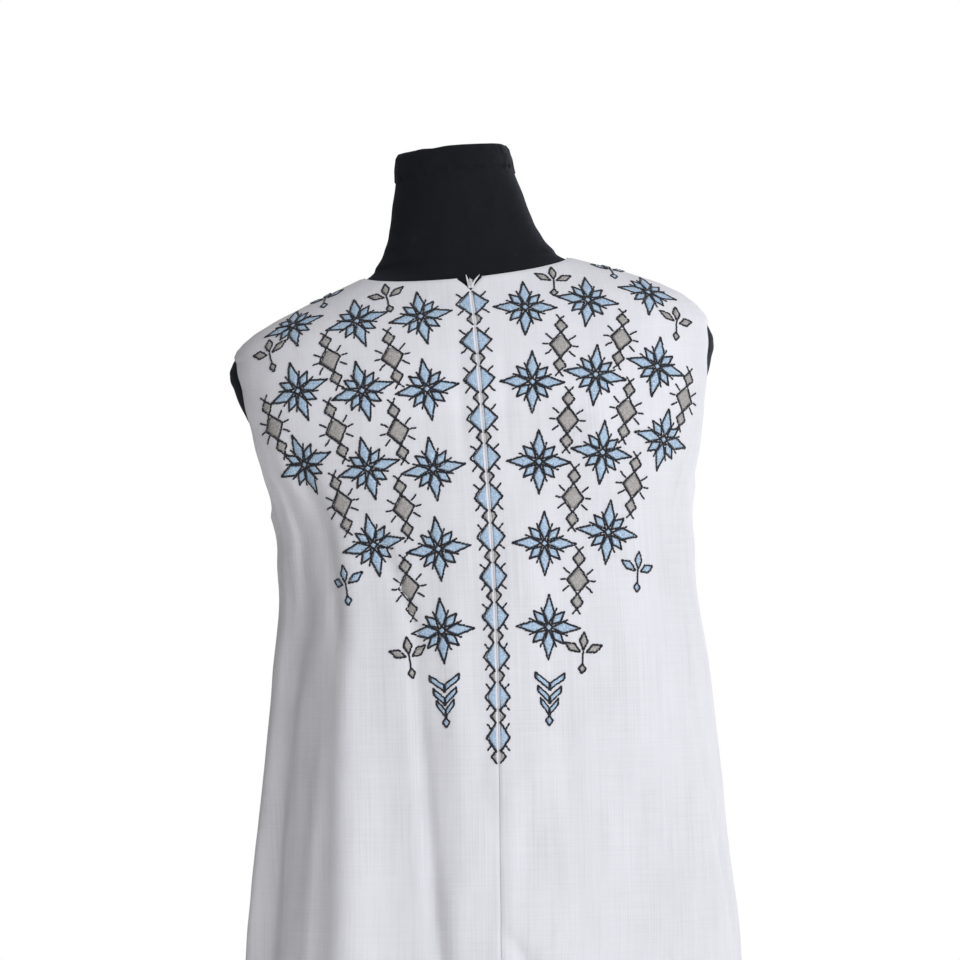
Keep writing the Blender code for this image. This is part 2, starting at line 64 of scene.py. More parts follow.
# Zip
ZIP_END_HEIGHT = 0.826
V_FOOT_HEIGHT = 1.368
V_HALF_WIDTH = 0.0103
V_POWER = 1.2
TAPE_WIDTH = 0.012
TAPE_THICK = 0.0006
COIL_PITCH = 0.0012
COIL_RADIUS = 0.0006

# Form and stand
FORM_FOOT_HEIGHT = 0.745
LEAN = 0.065
FORM_LEAN_FULL = 0.845
CLOTH_LEAN_START = 0.950
CLOTH_LEAN_FULL = 1.250
LEAN_CENTRE = (FORM_FOOT_HEIGHT + FORM_LEAN_FULL) / 2

# Shoulders and neck are tilted a little more than the body
SHOULDER_TILT = 0.035
SHOULDER_TILT_START = 1.300
SHOULDER_TILT_FULL = 1.380
NECK_LEAN = 0.050
NECK_LEAN_START = 1.385
NECK_LEAN_FULL = 1.405

Section = namedtuple("Section", "height half_width back front square")
DRESS_SECTIONS = [
    Section(0.4200, 0.2500, 0.1600, 0.1660, 0.25),
    Section(0.6000, 0.2310, 0.1500, 0.1570, 0.27),
    Section(0.8050, 0.2110, 0.1390, 0.1470, 0.30),
    Section(0.9500, 0.1965, 0.1290, 0.1390, 0.32),
    Section(1.0500, 0.1860, 0.1210, 0.1330, 0.35),
    Section(1.1450, 0.1785, 0.1135, 0.1290, 0.40),
    Section(1.1900, 0.1815, 0.1085, 0.1255, 0.45),
    Section(1.2300, 0.1945, 0.1045, 0.1190, 0.50),
    Section(1.2650, 0.2030, 0.0995, 0.1110, 0.50),
    Section(1.3000, 0.2058, 0.0925, 0.1005, 0.50),
    Section(1.3244, 0.2050, 0.0845, 0.0915, 0.40),
    Section(1.3366, 0.2020, 0.0795, 0.0865, 0.30),
    Section(1.3414, 0.1980, 0.0775, 0.0845, 0.25),
    Section(1.3489, 0.1900, 0.0740, 0.0810, 0.18),
    Section(1.3586, 0.1750, 0.0685, 0.0770, 0.10),
    Section(1.3703, 0.1500, 0.0615, 0.0720, 0.00),
    Section(1.3821, 0.1200, 0.0545, 0.0680, 0.00),
    Section(1.3936, 0.0884, 0.0475, 0.0640, 0.00),
]
FORM_SECTIONS = [
    Section(0.7450, 0.1500, 0.1000, 0.0900, 0.20),
    Section(0.7550, 0.1560, 0.1050, 0.0940, 0.20),
    Section(0.8000, 0.1660, 0.1120, 0.1000, 0.20),
    Section(0.8600, 0.1680, 0.1130, 0.1020, 0.20),
    Section(0.9500, 0.1430, 0.0920, 0.0980, 0.15),
    Section(1.0200, 0.1200, 0.0760, 0.0940, 0.10),
    Section(1.0900, 0.1310, 0.0800, 0.1060, 0.10),
    Section(1.1500, 0.1460, 0.0890, 0.1170, 0.10),
    Section(1.2000, 0.1580, 0.0960, 0.1130, 0.00),
    Section(1.2400, 0.1770, 0.0955, 0.1070, -0.10),
    Section(1.2790, 0.1970, 0.0910, 0.0980, -0.20),
    Section(1.3030, 0.2055, 0.0855, 0.0920, -0.25),
    Section(1.3150, 0.2082, 0.0812, 0.0880, -0.35),
    Section(1.3244, 0.2060, 0.0775, 0.0850, -0.35),
    Section(1.3300, 0.2032, 0.0755, 0.0830, -0.30),
    Section(1.3366, 0.1992, 0.0725, 0.0800, -0.10),
    Section(1.3414, 0.1957, 0.0720, 0.0800, 0.05),
    Section(1.3489, 0.1871, 0.0690, 0.0765, 0.08),
    Section(1.3586, 0.1713, 0.0637, 0.0727, 0.05),
    Section(1.3703, 0.1457, 0.0567, 0.0678, 0.00),
    Section(1.3821, 0.1155, 0.0497, 0.0638, 0.00),
    Section(1.3936, 0.0843, 0.0435, 0.0600, 0.00),
    Section(1.4021, 0.0765, 0.0425, 0.0585, 0.00),
    Section(1.4174, 0.0668, 0.0405, 0.0570, 0.00),
    Section(1.4327, 0.0612, 0.0390, 0.0560, 0.00),
    Section(1.4530, 0.0563, 0.0380, 0.0550, 0.00),
    Section(1.4735, 0.0508, 0.0373, 0.0545, 0.00),
    Section(1.4900, 0.0480, 0.0365, 0.0530, 0.00),
    Section(1.4955, 0.0455, 0.0340, 0.0505, 0.00),
]

# The folds that the solids have too: depth is outwards where positive, spread half a width
Fold = namedtuple("Fold", "top_height top_angle hem_angle depth spread")
FOLDS = [
    Fold(1.230, 42, 20, -0.0140, 0.038),
    Fold(1.180, 60, 58, 0.0110, 0.048),
    Fold(1.130, 71, 82, -0.0100, 0.026),
    Fold(1.060, 87, 95, 0.0065, 0.030),
    Fold(1.000, 108, 114, -0.0060, 0.034),
    Fold(1.080, 122, 134, 0.0085, 0.044),
    Fold(1.120, 144, 155, -0.0080, 0.038),
    Fold(1.160, 206, 203, -0.0120, 0.040),
    Fold(1.140, 226, 224, 0.0110, 0.044),
    Fold(1.100, 244, 249, -0.0100, 0.034),
    Fold(1.020, 268, 272, 0.0070, 0.042),
    Fold(1.090, 293, 297, -0.0110, 0.036),
    Fold(1.150, 312, 318, 0.0120, 0.046),
    Fold(1.180, 334, 340, -0.0110, 0.038),
]
FOLD_GROWTH = 1.15
FOLD_RADIUS = 0.19

# Creases: each runs from its top to its foot and fades out at both ends
Crease = namedtuple("Crease", "top_height top_angle foot_height foot_angle depth spread")
CREASES = [
    # Left back: the deep trough, the ridge beside it and the thin pressed crease
    Crease(1.250, 40, 1.010, 25, -0.0085, 0.030),
    Crease(1.195, 46, 1.055, 50, -0.0034, 0.0075),
    Crease(1.130, 27, 0.600, 20, -0.0098, 0.021),
    Crease(1.200, 52, 0.640, 60, 0.0082, 0.019),
    Crease(1.176, 62.5, 1.056, 73.5, -0.0030, 0.0055),
    Crease(1.112, 70, 0.690, 81, -0.0052, 0.0062),
    Crease(1.040, 66, 0.560, 69, -0.0034, 0.018),
    Crease(1.090, 77, 0.840, 81, -0.0022, 0.013),
    Crease(1.060, 46, 0.520, 44, 0.0012, 0.009),
    # Under the left armhole
    Crease(1.272, 46, 1.110, 42, -0.0026, 0.013),
    Crease(1.262, 38, 1.180, 36, 0.0014, 0.012),
    Crease(1.240, 31, 1.090, 29, -0.0014, 0.010),
    Crease(1.205, 22, 0.960, 19, -0.0022, 0.014),
    Crease(1.060, 14, 0.480, 10, 0.0036, 0.013),
    # Beside the zip, and the pucker at its end
    Crease(1.215, 79.5, 0.680, 82.5, 0.0040, 0.013),
    Crease(1.338, 87, 1.215, 85.5, -0.0014, 0.0045),
    Crease(1.334, 95.5, 1.220, 94, -0.0012, 0.0045),
    Crease(1.378, 82, 1.345, 80, -0.0009, 0.007),
    Crease(0.980, 92.5, 0.800, 92, 0.0020, 0.007),
    Crease(0.838, 91, 0.790, 97, -0.0034, 0.007),
    Crease(0.825, 93, 0.720, 104, -0.0028, 0.008),
    # Shoulder blades
    Crease(1.320, 69, 1.200, 65, 0.0022, 0.022),
    Crease(1.310, 108, 1.200, 112, 0.0018, 0.022),
    # Right back: smoother, with a crease along the side
    Crease(1.100, 103, 0.700, 110, -0.0020, 0.013),
    Crease(1.200, 124, 0.700, 131, 0.0042, 0.022),
    Crease(1.060, 129, 0.700, 138, -0.0013, 0.012),
    Crease(1.258, 152, 1.120, 143, -0.0016, 0.010),
    Crease(1.215, 160, 0.960, 153, -0.0014, 0.014),
    Crease(1.045, 144, 0.690, 176, -0.0027, 0.0085),
    # Front
    Crease(1.250, 328, 1.080, 316, -0.0042, 0.011),
    Crease(1.240, 213, 1.080, 225, -0.0036, 0.011),
    Crease(1.210, 321, 0.900, 306, 0.0044, 0.015),
    Crease(1.200, 221, 0.880, 234, 0.0038, 0.015),
    Crease(1.130, 258, 0.760, 254, -0.0042, 0.0070),
    Crease(1.110, 282, 0.600, 288, -0.0050, 0.0095),
    Crease(1.100, 240, 0.560, 244, -0.0060, 0.015),
    Crease(1.120, 300, 0.520, 303, 0.0062, 0.018),
    Crease(1.080, 316, 0.540, 314, -0.0064, 0.015),
    Crease(1.060, 228, 0.560, 230, 0.0056, 0.017),
    Crease(1.020, 268, 0.640, 266, 0.0030, 0.014),
    # Skirt
    Crease(0.800, 50, 0.440, 46, -0.0024, 0.012),
    Crease(0.760, 70, 0.430, 66, -0.0022, 0.010),
    Crease(0.700, 100, 0.430, 104, 0.0024, 0.012),
    Crease(0.780, 140, 0.440, 145, 0.0022, 0.013),
    Crease(0.820, 172, 0.450, 170, -0.0026, 0.013),
    Crease(0.760, 235, 0.430, 238, 0.0024, 0.012),
    Crease(0.720, 262, 0.440, 264, -0.0020, 0.010),
    Crease(0.800, 330, 0.440, 327, 0.0022, 0.012),
    Crease(0.860, 352, 0.450, 350, -0.0026, 0.014),
]

# Slight unevenness of the cloth: depth, and its size across and along the cloth
Ripple = namedtuple("Ripple", "depth across along seed")
RIPPLES = [
    Ripple(0.0013, 0.040, 0.120, 11),
    Ripple(0.0008, 0.019, 0.060, 12),
    Ripple(0.0003, 0.009, 0.024, 13),
]
RIPPLE_FADE = 0.8
RIPPLE_FADE_START = 1.20
RIPPLE_FADE_RISE = 0.12
TANGENT_STEP = 1e-4

# The lower edge of the facing inside, at centre back or front and how far it drops to the sides
FACING_HEIGHT = 1.262
FACING_DROP = 0.115
FACING_STEP = 0.008


def read_sections(sections, height):
    """The table's columns at any heights, on cubics through the rows. The slope at a row is the
    slope there of the parabola through it and its two neighbours."""
    table = np.array(sections)
    rows, values = table[:, 0], table[:, 1:]
    step = np.diff(rows)[:, None]
    rise = np.diff(values, axis=0) / step
    inner = (step[:-1] * rise[1:] + step[1:] * rise[:-1]) / (step[:-1] + step[1:])
    slope = np.concatenate([rise[:1], inner, rise[-1:]])
    height = np.clip(np.asarray(height, float), rows[0], rows[-1])
    low = np.clip(np.searchsorted(rows, height) - 1, 0, len(rows) - 2)
    gap = (rows[low + 1] - rows[low])[..., None]
    t = (height - rows[low])[..., None] / gap
    near = values[low] + t * gap * slope[low]
    far = values[low + 1] - (1 - t) * gap * slope[low + 1]
    blend = t * t * (3 - 2 * t)
    curve = near * (1 - blend) + far * blend
    return [curve[..., column] for column in range(values.shape[1])]


def smooth(t):
    """0 up to t = 0, 1 from t = 1, and 3t^2 - 2t^3 between."""
    t = np.clip(t, 0, 1)
    return t * t * (3 - 2 * t)


def summed_growth(z, start, full):
    """The smooth growth from 0 at the height start to 1 at full, summed up to z."""
    t = np.clip((z - start) / (full - start), 0, 1)
    return (full - start) * (t**3 - t**4 / 2) + np.maximum(z - full, 0)


def leaned(points, start, full):
    """The points with the form's lean to the wearer's left, which grows smoothly from none at the
    height start to LEAN at the height full. x moves by the lean summed up to the point's height,
    and z drops by x times the lean, more so at the shoulders and neck."""
    x, y, z = points[..., 0], points[..., 1], points[..., 2]
    t = np.clip((z - start) / (full - start), 0, 1)
    shift = LEAN * (summed_growth(z, start, full) + (start + full) / 2 - LEAN_CENTRE)
    shift = shift + NECK_LEAN * summed_growth(z, NECK_LEAN_START, NECK_LEAN_FULL)
    tilt = LEAN * smooth(t)
    up_shoulder = (z - SHOULDER_TILT_START) / (SHOULDER_TILT_FULL - SHOULDER_TILT_START)
    tilt = tilt + SHOULDER_TILT * smooth(up_shoulder)
    return np.stack([x + shift, y, z - x * tilt], axis=-1)


def turn_between(angle, middle):
    """Angle from middle, between -pi and pi."""
    return (angle - middle + math.pi) % (2 * math.pi) - math.pi


def fold_depth(angle, height):
    """How far the folds move the cloth outwards: for each, a bell across it,
    exp(-(distance / spread)^2), times its depth, which grows from its top to the hem."""
    depth = np.zeros(np.broadcast(angle, height).shape)
    for fold in FOLDS:
        down = np.clip((fold.top_height - height) / (fold.top_height - HEM_HEIGHT), 0, 1)
        middle = np.radians(fold.top_angle + (fold.hem_angle - fold.top_angle) * down)
        away = turn_between(angle, middle) * FOLD_RADIUS / fold.spread
        depth += fold.depth * down**FOLD_GROWTH * np.exp(-(away**2))
    return depth


def crease_depth(angle, height):
    """Sum over the creases of depth x sin(pi t) ^ 0.8 along it x exp(-(distance / spread)^2) across
    it, t running from its top to its foot."""
    depth = np.zeros(np.broadcast(angle, height).shape)
    for crease in CREASES:
        t = np.clip((crease.top_height - height) / (crease.top_height - crease.foot_height), 0, 1)
        middle = np.radians(crease.top_angle + (crease.foot_angle - crease.top_angle) * t)
        away = turn_between(angle, middle) * FOLD_RADIUS / crease.spread
        depth += crease.depth * np.sin(math.pi * t) ** 0.8 * np.exp(-(away**2))
    return depth


def cell_noise(across, along, columns, rows, seed):
    """Noise between -1 and 1 on a grid of seeded random values, blended with 3t^2 - 2t^3, which
    joins up after the given number of columns."""
    values = np.random.default_rng(seed).uniform(-1, 1, (rows, columns))
    left = np.floor(across).astype(int)
    low = np.clip(np.floor(along).astype(int), 0, rows - 2)
    right_share, up_share = smooth(across - left), smooth(along - low)
    first, second = left % columns, (left + 1) % columns
    near = values[low, first] * (1 - right_share) + values[low, second] * right_share
    far = values[low + 1, first] * (1 - right_share) + values[low + 1, second] * right_share
    return near * (1 - up_share) + far * up_share


def ripple_depth(angle, height):
    """Sum of the ripples, each cell noise times its depth."""
    depth = np.zeros(np.broadcast(angle, height).shape)
    for ripple in RIPPLES:
        columns = round(2 * math.pi * FOLD_RADIUS / ripple.across)
        rows = round((NECK_POINT_HEIGHT - HEM_HEIGHT) / ripple.along) + 3
        across = (angle % (2 * math.pi)) / (2 * math.pi) * columns
        along = np.clip((height - HEM_HEIGHT) / ripple.along + 1, 0, rows - 1.01)
        depth += ripple.depth * cell_noise(across, along, columns, rows, ripple.seed)
    return depth


def oval(sections, angle, height):
    """An upright section's oval, x = half_width cos a sqrt(1 + square sin^2 a) and y = depth sin a,
    with its half width and depth."""
    half_width, back, front, square = read_sections(sections, height)
    depth = np.where(np.sin(angle) > 0, back, front)
    x = half_width * np.cos(angle) * np.sqrt(1 + square * np.sin(angle) ** 2)
    return x, depth * np.sin(angle), half_width, depth


def cloth_point(angle, height):
    """Middle of the cloth: the dress's oval moved outwards by the folds, creases and ripples and
    then leaned with the form. Above the underarm, where the cloth lies on the form, the ripples fade
    to a fifth."""
    x, y, half_width, depth = oval(DRESS_SECTIONS, angle, height)
    out_x, out_y = np.cos(angle) / half_width, np.sin(angle) / depth
    loose = 1 - RIPPLE_FADE * smooth((height - RIPPLE_FADE_START) / RIPPLE_FADE_RISE)
    move = fold_depth(angle, height) + crease_depth(angle, height) + ripple_depth(angle, height) * loose
    reach = move / np.hypot(out_x, out_y)
    points = np.stack([x + out_x * reach, y + out_y * reach, height + 0 * x], axis=-1)
    return leaned(points, CLOTH_LEAN_START, CLOTH_LEAN_FULL)


def unit(vectors):
    """The vectors at length 1."""
    return vectors / np.maximum(np.linalg.norm(vectors, axis=-1, keepdims=True), 1e-12)


def run_along(points, axis=0):
    """Distance from the first point to each point of a line, or of each line of a grid."""
    steps = np.linalg.norm(np.diff(points, axis=axis), axis=-1)
    return np.insert(np.cumsum(steps, axis=axis), 0, 0, axis=axis)


def cloth_tangents(angle, height):
    """The cloth's two tangents, per radian round the body and per metre of height."""
    step = TANGENT_STEP
    across = (cloth_point(angle + step, height) - cloth_point(angle - step, height)) / (2 * step)
    up = (cloth_point(angle, height + step) - cloth_point(angle, height - step)) / (2 * step)
    return across, up


def cloth_normal(angle, height):
    """Outward unit normal of the cloth, from its two tangents."""
    across, up = cloth_tangents(angle, height)
    return unit(np.cross(across, up))


def angle_from_side(x, height):
    """Angle from the side seam of the cloth point that lies x from the middle at this height, the
    upright section's formula solved for the angle."""
    half_width, _, _, square = read_sections(DRESS_SECTIONS, height)
    ratio = np.clip(x / half_width, 0, 1)
    root = np.sqrt((1 + square) ** 2 - 4 * square * ratio**2)
    return np.arccos(np.clip(np.sqrt(2 * ratio**2 / (1 + square + root)), 0, 1))


def seam_angle(height, front):
    """Half the shells' gap, as an angle at the side seam."""
    _, back_depth, front_depth, _ = read_sections(DRESS_SECTIONS, height)
    return SHELL_GAP / 2 / (front_depth if front else back_depth)


def v_opening(height):
    """Half the width of the zip's open top: none at the foot of the V, growing with the height to
    the power V_POWER."""
    t = np.clip((height - V_FOOT_HEIGHT) / (NECK_POINT_HEIGHT - BACK_NECK_DROP - V_FOOT_HEIGHT), 0, 1)
    return SHELL_GAP / 2 + V_HALF_WIDTH * t**V_POWER


# Rows of a panel's grid: below the underarm, on up the centre and round the neckline
LOW_ROWS = 170
FRONT_CENTRE_TOP_ROWS = 37
BACK_CENTRE_TOP_ROWS = 52
NECK_ROWS = 40
# How much closer the columns stand at the centre and the side
CROWDING = 0.75


def neck_curve(front, steps):
    """Heights and angles from the side along half a neckline, at these steps of its turn: from 1 at
    the centre to 0 at the shoulder. The drop below the neck point goes with the sine of the turn,
    the distance from the middle with its cosine."""
    drop = FRONT_NECK_DROP if front else BACK_NECK_DROP
    opening = 0 if front else v_opening(NECK_POINT_HEIGHT - drop)
    power = FRONT_NECK_POWER if front else BACK_NECK_POWER
    turn = math.acos(opening / NECK_HALF_WIDTH) * steps**power
    height = NECK_POINT_HEIGHT - drop * np.sin(turn)
    return height, angle_from_side(NECK_HALF_WIDTH * np.cos(turn), height)


def armhole_curve(front, sweep):
    """Heights and angles from the side round half an armhole, as sweep runs from 0 at the underarm
    to pi at the shoulder: a half oval."""
    middle = (SHOULDER_TIP_HEIGHT + UNDERARM_HEIGHT) / 2
    reach = (SHOULDER_TIP_HEIGHT - UNDERARM_HEIGHT) / 2
    widest = FRONT_ARMHOLE_ANGLE if front else BACK_ARMHOLE_ANGLE
    return middle - reach * np.cos(sweep), widest * np.sin(sweep)


def half_panel(front, columns):
    """Angles from the side seam and heights of a half panel's grid, rows from the hem to the
    shoulder seam and columns from the centre to the side, crowded towards both edges. Each row is a
    straight run in angle and height from the centre line or the neckline to the side seam or the
    armhole."""
    low = np.linspace(HEM_HEIGHT, UNDERARM_HEIGHT, LOW_ROWS + 1)[:-1]
    neck_top = NECK_POINT_HEIGHT - (FRONT_NECK_DROP if front else BACK_NECK_DROP)
    top_rows = FRONT_CENTRE_TOP_ROWS if front else BACK_CENTRE_TOP_ROWS
    centre = np.linspace(UNDERARM_HEIGHT, neck_top, top_rows)
    opening = 0 * centre if front else v_opening(centre)
    neck_height, neck_angle = neck_curve(front, np.linspace(1, 0, NECK_ROWS + 1)[1:])
    neck_angle[-1] = seam_angle(neck_height[-1], front)
    inner_height = np.concatenate([low, centre, neck_height])
    low_opening = 0 * low if front else 0 * low + SHELL_GAP / 2
    inner_angle = np.concatenate([
        angle_from_side(low_opening, low), angle_from_side(opening, centre), neck_angle])

    sweep = np.linspace(0, math.pi, len(inner_height) - len(low))
    armhole_height, armhole_angle = armhole_curve(front, sweep)
    outer_height = np.concatenate([low, armhole_height])
    outer_angle = np.concatenate([0 * low, armhole_angle]) + seam_angle(outer_height, front)

    t = np.linspace(0, 1, columns + 1)
    across = t - CROWDING * np.sin(2 * math.pi * t) / (2 * math.pi)
    angle = inner_angle[:, None] * (1 - across) + outer_angle[:, None] * across
    height = inner_height[:, None] * (1 - across) + outer_height[:, None] * across
    return angle, height


def whole_angle(from_side, side, front):
    """The angle round the body of a place given from its side seam, side 1 on the wearer's left."""
    if front:
        return -from_side if side > 0 else math.pi + from_side
    return from_side if side > 0 else math.pi - from_side


def grid_index(points):
    """Vertex numbers of a grid of points."""
    return np.arange(points.shape[0] * points.shape[1]).reshape(points.shape[:2])


def closed_round(index):
    """Vertex numbers with the first column again at the end, for a surface that goes round."""
    return np.concatenate([index, index[:, :1]], axis=1)


def grid_faces(index):
    """Four-sided faces over a grid of vertex numbers."""
    corners = [index[:-1, :-1], index[:-1, 1:], index[1:, 1:], index[1:, :-1]]
    return np.stack(corners, axis=-1).reshape(-1, 4)


def new_piece(name, points, faces, material, uv=None, facing=None):
    """A mesh object from arrays of points and faces, smooth, with a UV and a facing value per point
    where given."""
    mesh = bpy.data.meshes.new(name)
    points = np.asarray(points, float).reshape(-1, 3)
    mesh.from_pydata(points.tolist(), [], [list(face) for face in faces])
    if uv is not None:
        corner = np.zeros(len(mesh.loops), np.int32)
        mesh.loops.foreach_get("vertex_index", corner)
        layer = mesh.uv_layers.new(name="cut")
        layer.data.foreach_set("uv", np.asarray(uv, np.float32).reshape(-1, 2)[corner].ravel())
    if facing is not None:
        layer = mesh.attributes.new("facing", "FLOAT", "POINT")
        layer.data.foreach_set("value", np.asarray(facing, np.float32).ravel())
    mesh.shade_smooth()
    mesh.materials.append(material)
    piece = bpy.data.objects.new(name, mesh)
    bpy.context.scene.collection.objects.link(piece)
    return piece


def walled(shell, thickness):
    """A surface given a wall to both of its sides."""
    wall = shell.modifiers.new("Wall", "SOLIDIFY")
    wall.thickness = thickness
    wall.offset = 0
    return shell


def belongs(piece, node=None):
    """Puts the piece on the root body, and hides the solid that it replaces where given."""
    if node:
        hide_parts(node)
    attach(piece, "root")


def walk(angle, height, across, up, steps=6):
    """The place reached from angle and height by a straight walk over the cloth of across (round the
    body) and up, in metres: in each step the heading is laid flat on the cloth and turned into
    changes of angle and height with the two tangents."""
    angle = angle + 0.0 * across
    height = height + 0.0 * across
    length = np.hypot(across, up)[..., None]
    round_body, upwards = cloth_tangents(angle, height)
    first = unit(round_body)
    second = unit(upwards - first * (upwards * first).sum(-1, keepdims=True))
    heading = across[..., None] * first + up[..., None] * second
    for _ in range(steps):
        a, b = cloth_tangents(angle, height)
        normal = unit(np.cross(a, b))
        heading = unit(heading - normal * (heading * normal).sum(-1, keepdims=True)) * length
        aa, ab, bb = (a * a).sum(-1), (a * b).sum(-1), (b * b).sum(-1)
        pa, pb = (a * heading).sum(-1) / steps, (b * heading).sum(-1) / steps
        whole = aa * bb - ab * ab
        angle = angle + (pa * bb - pb * ab) / whole
        height = height + (pb * aa - pa * ab) / whole
    return angle, height


# Materials

# A wave texture of scale 1 repeats after this length
WAVE_PERIOD = 2 * math.pi / 20


def node_material(name, colour, roughness, metallic=0.0, **others):
    """A material with a Principled shader whose plain values are set on its own sockets."""
    material = bpy.data.materials.new(name)
    material.use_nodes = True
    shader = material.node_tree.nodes["Principled BSDF"]
    shader.inputs["Base Color"].default_value = (*colour, 1)
    shader.inputs["Roughness"].default_value = roughness
    shader.inputs["Metallic"].default_value = metallic
    for socket, value in others.items():
        shader.inputs[socket.replace("_", " ")].default_value = value
    return material, shader


def add_node(material, kind, **values):
    """A node with its inputs set; a value that is a socket is linked."""
    node = material.node_tree.nodes.new(kind)
    for name, value in values.items():
        if hasattr(node, name):
            setattr(node, name, value)
            continue
        socket = node.inputs[name.replace("_", " ")]
        if isinstance(value, bpy.types.NodeSocket):
            material.node_tree.links.new(value, socket)
        else:
            socket.default_value = value
    return node


def mapped(material, source, scale):
    """Coordinates of the cloth's cut or the object, scaled on each axis."""
    coordinates = add_node(material, "ShaderNodeTexCoord")
    mapping = add_node(material, "ShaderNodeMapping")
    mapping.inputs["Scale"].default_value = scale
    material.node_tree.links.new(coordinates.outputs[source], mapping.inputs["Vector"])
    return mapping.outputs["Vector"]


def noise(material, source, scale, detail, roughness):
    """Noise of this many grains a metre on each axis."""
    vector = mapped(material, source, scale)
    node = add_node(
        material, "ShaderNodeTexNoise", Vector=vector, Scale=1.0, Detail=detail, Roughness=roughness)
    return node.outputs["Fac"]


def ribs(material, direction, pitch, distortion=0.0):
    """Even ribs across the cut's x or y at this pitch in metres."""
    scale = WAVE_PERIOD / pitch
    vector = mapped(material, "UV", (scale, scale, 1))
    node = add_node(material, "ShaderNodeTexWave", Vector=vector, Scale=1.0, Distortion=distortion)
    node.bands_direction = direction
    return node.outputs["Fac"]


def maths(material, operation, first, second):
    """Two values or sockets joined by one operation."""
    node = add_node(material, "ShaderNodeMath")
    node.operation = operation
    for socket, value in zip(node.inputs, (first, second)):
        if isinstance(value, bpy.types.NodeSocket):
            material.node_tree.links.new(value, socket)
        else:
            socket.default_value = value
    return node.outputs[0]


def shares(material, first, first_share, second, second_share):
    """Sum of two sockets, each times its share."""
    one = maths(material, "MULTIPLY", first, first_share)
    return maths(material, "ADD", one, maths(material, "MULTIPLY", second, second_share))


def ramp(material, factor, stops):
    """A colour ramp from (place, colour) stops."""
    node = add_node(material, "ShaderNodeValToRGB", Fac=factor)
    elements = node.color_ramp.elements
    while len(elements) < len(stops):
        elements.new(0.5)
    for element, (place, colour) in zip(elements, stops):
        element.position = place
        element.color = (*colour, 1)
    return node.outputs["Color"]


def bumped(material, shader, height, strength, distance):
    """The shader's relief from a height."""
    node = add_node(material, "ShaderNodeBump", Height=height, Strength=strength, Distance=distance)
    material.node_tree.links.new(node.outputs["Normal"], shader.inputs["Normal"])


THREAD_PITCH = 0.00050


def linen(name, tint):
    """Fine plain weave: warp and weft ribs, slubs as long thin noise along both threads, stronger
    along the warp, soft clouds, and a slightly lighter tone where the facing lies behind."""
    material, shader = node_material(
        name, tint, 0.85, Sheen_Weight=0.22, Sheen_Roughness=0.4, Specular_IOR_Level=0.3)
    warp = ribs(material, "X", THREAD_PITCH)
    weft = ribs(material, "Y", THREAD_PITCH * 1.1)
    warp_slubs = noise(material, "UV", (760, 9, 1), 3.0, 0.62)
    weft_slubs = noise(material, "UV", (14, 900, 1), 3.0, 0.6)
    streaks = noise(material, "UV", (90, 5, 1), 4.0, 0.6)
    cloudy = noise(material, "UV", (16, 8, 1), 4.0, 0.6)
    slubs = shares(material, warp_slubs, 0.36, weft_slubs, 0.18)
    tone = shares(material, streaks, 0.13, cloudy, 0.33)
    facing = add_node(material, "ShaderNodeAttribute", attribute_name="facing")
    tone = maths(material, "ADD", tone, maths(material, "MULTIPLY", facing.outputs["Fac"], 0.06))
    shade = maths(material, "ADD", slubs, tone)
    dark = tuple(0.88 * value for value in tint)
    light = tuple(min(1.08 * value, 0.97) for value in tint)
    colour = ramp(material, shade, [(0.36, dark), (0.51, tint), (0.68, light)])
    material.node_tree.links.new(colour, shader.inputs["Base Color"])
    threads = maths(material, "MULTIPLY", maths(material, "ADD", warp, weft), 0.30)
    relief = maths(material, "ADD", threads, slubs)
    bumped(material, shader, relief, 0.25, 0.0003)
    return material


def jersey(name):
    """Matt knitted jersey: fine wales up the body, courses round it and a little unevenness."""
    material, shader = node_material(
        name, (0.006, 0.0065, 0.009), 0.85, Sheen_Weight=0.16, Sheen_Roughness=0.5,
        Sheen_Tint=(0.22, 0.25, 0.36, 1), Specular_IOR_Level=0.22)
    wales = ribs(material, "X", 0.0013, 0.6)
    courses = ribs(material, "Y", 0.0010, 0.6)
    uneven = noise(material, "Object", (60, 60, 30), 4.0, 0.6)
    lint = noise(material, "Object", (700, 700, 260), 2.0, 0.7)
    colour = ramp(material, shares(material, uneven, 0.7, lint, 0.3), [
        (0.3, (0.004, 0.0045, 0.0065)),
        (0.6, (0.007, 0.0075, 0.010)),
        (0.78, (0.018, 0.019, 0.024)),
    ])
    material.node_tree.links.new(colour, shader.inputs["Base Color"])
    relief = maths(material, "ADD", maths(material, "MULTIPLY", wales, courses), uneven)
    bumped(material, shader, relief, 0.4, 0.0005)
    return material


def thread(name, colour, pitch, contrast):
    """Stranded embroidery thread, laid in close stitches across the shape, each a little lighter or
    darker than the next, with pale specks of the cloth between them."""
    material, shader = node_material(name, colour, 0.5, Sheen_Weight=0.3, Sheen_Roughness=0.35)
    stitches = ribs(material, "X", pitch, 0.8)
    strands = noise(material, "UV", (1 / pitch, 0.25 / pitch, 1), 2.0, 0.6)
    specks = noise(material, "Object", (820, 820, 820), 3.0, 0.7)
    shade = shares(material, strands, 0.4, specks, 0.6)
    dark = tuple(value * (1 - contrast) for value in colour)
    light = tuple(min(value * (1 + contrast), 0.95) for value in colour)
    tone = ramp(material, shade, [(0.40, dark), (0.5, colour), (0.58, light)])
    material.node_tree.links.new(tone, shader.inputs["Base Color"])
    relief = maths(material, "ADD", maths(material, "MULTIPLY", stitches, 0.6), strands)
    bumped(material, shader, relief, 0.6, 0.0003)
    return material


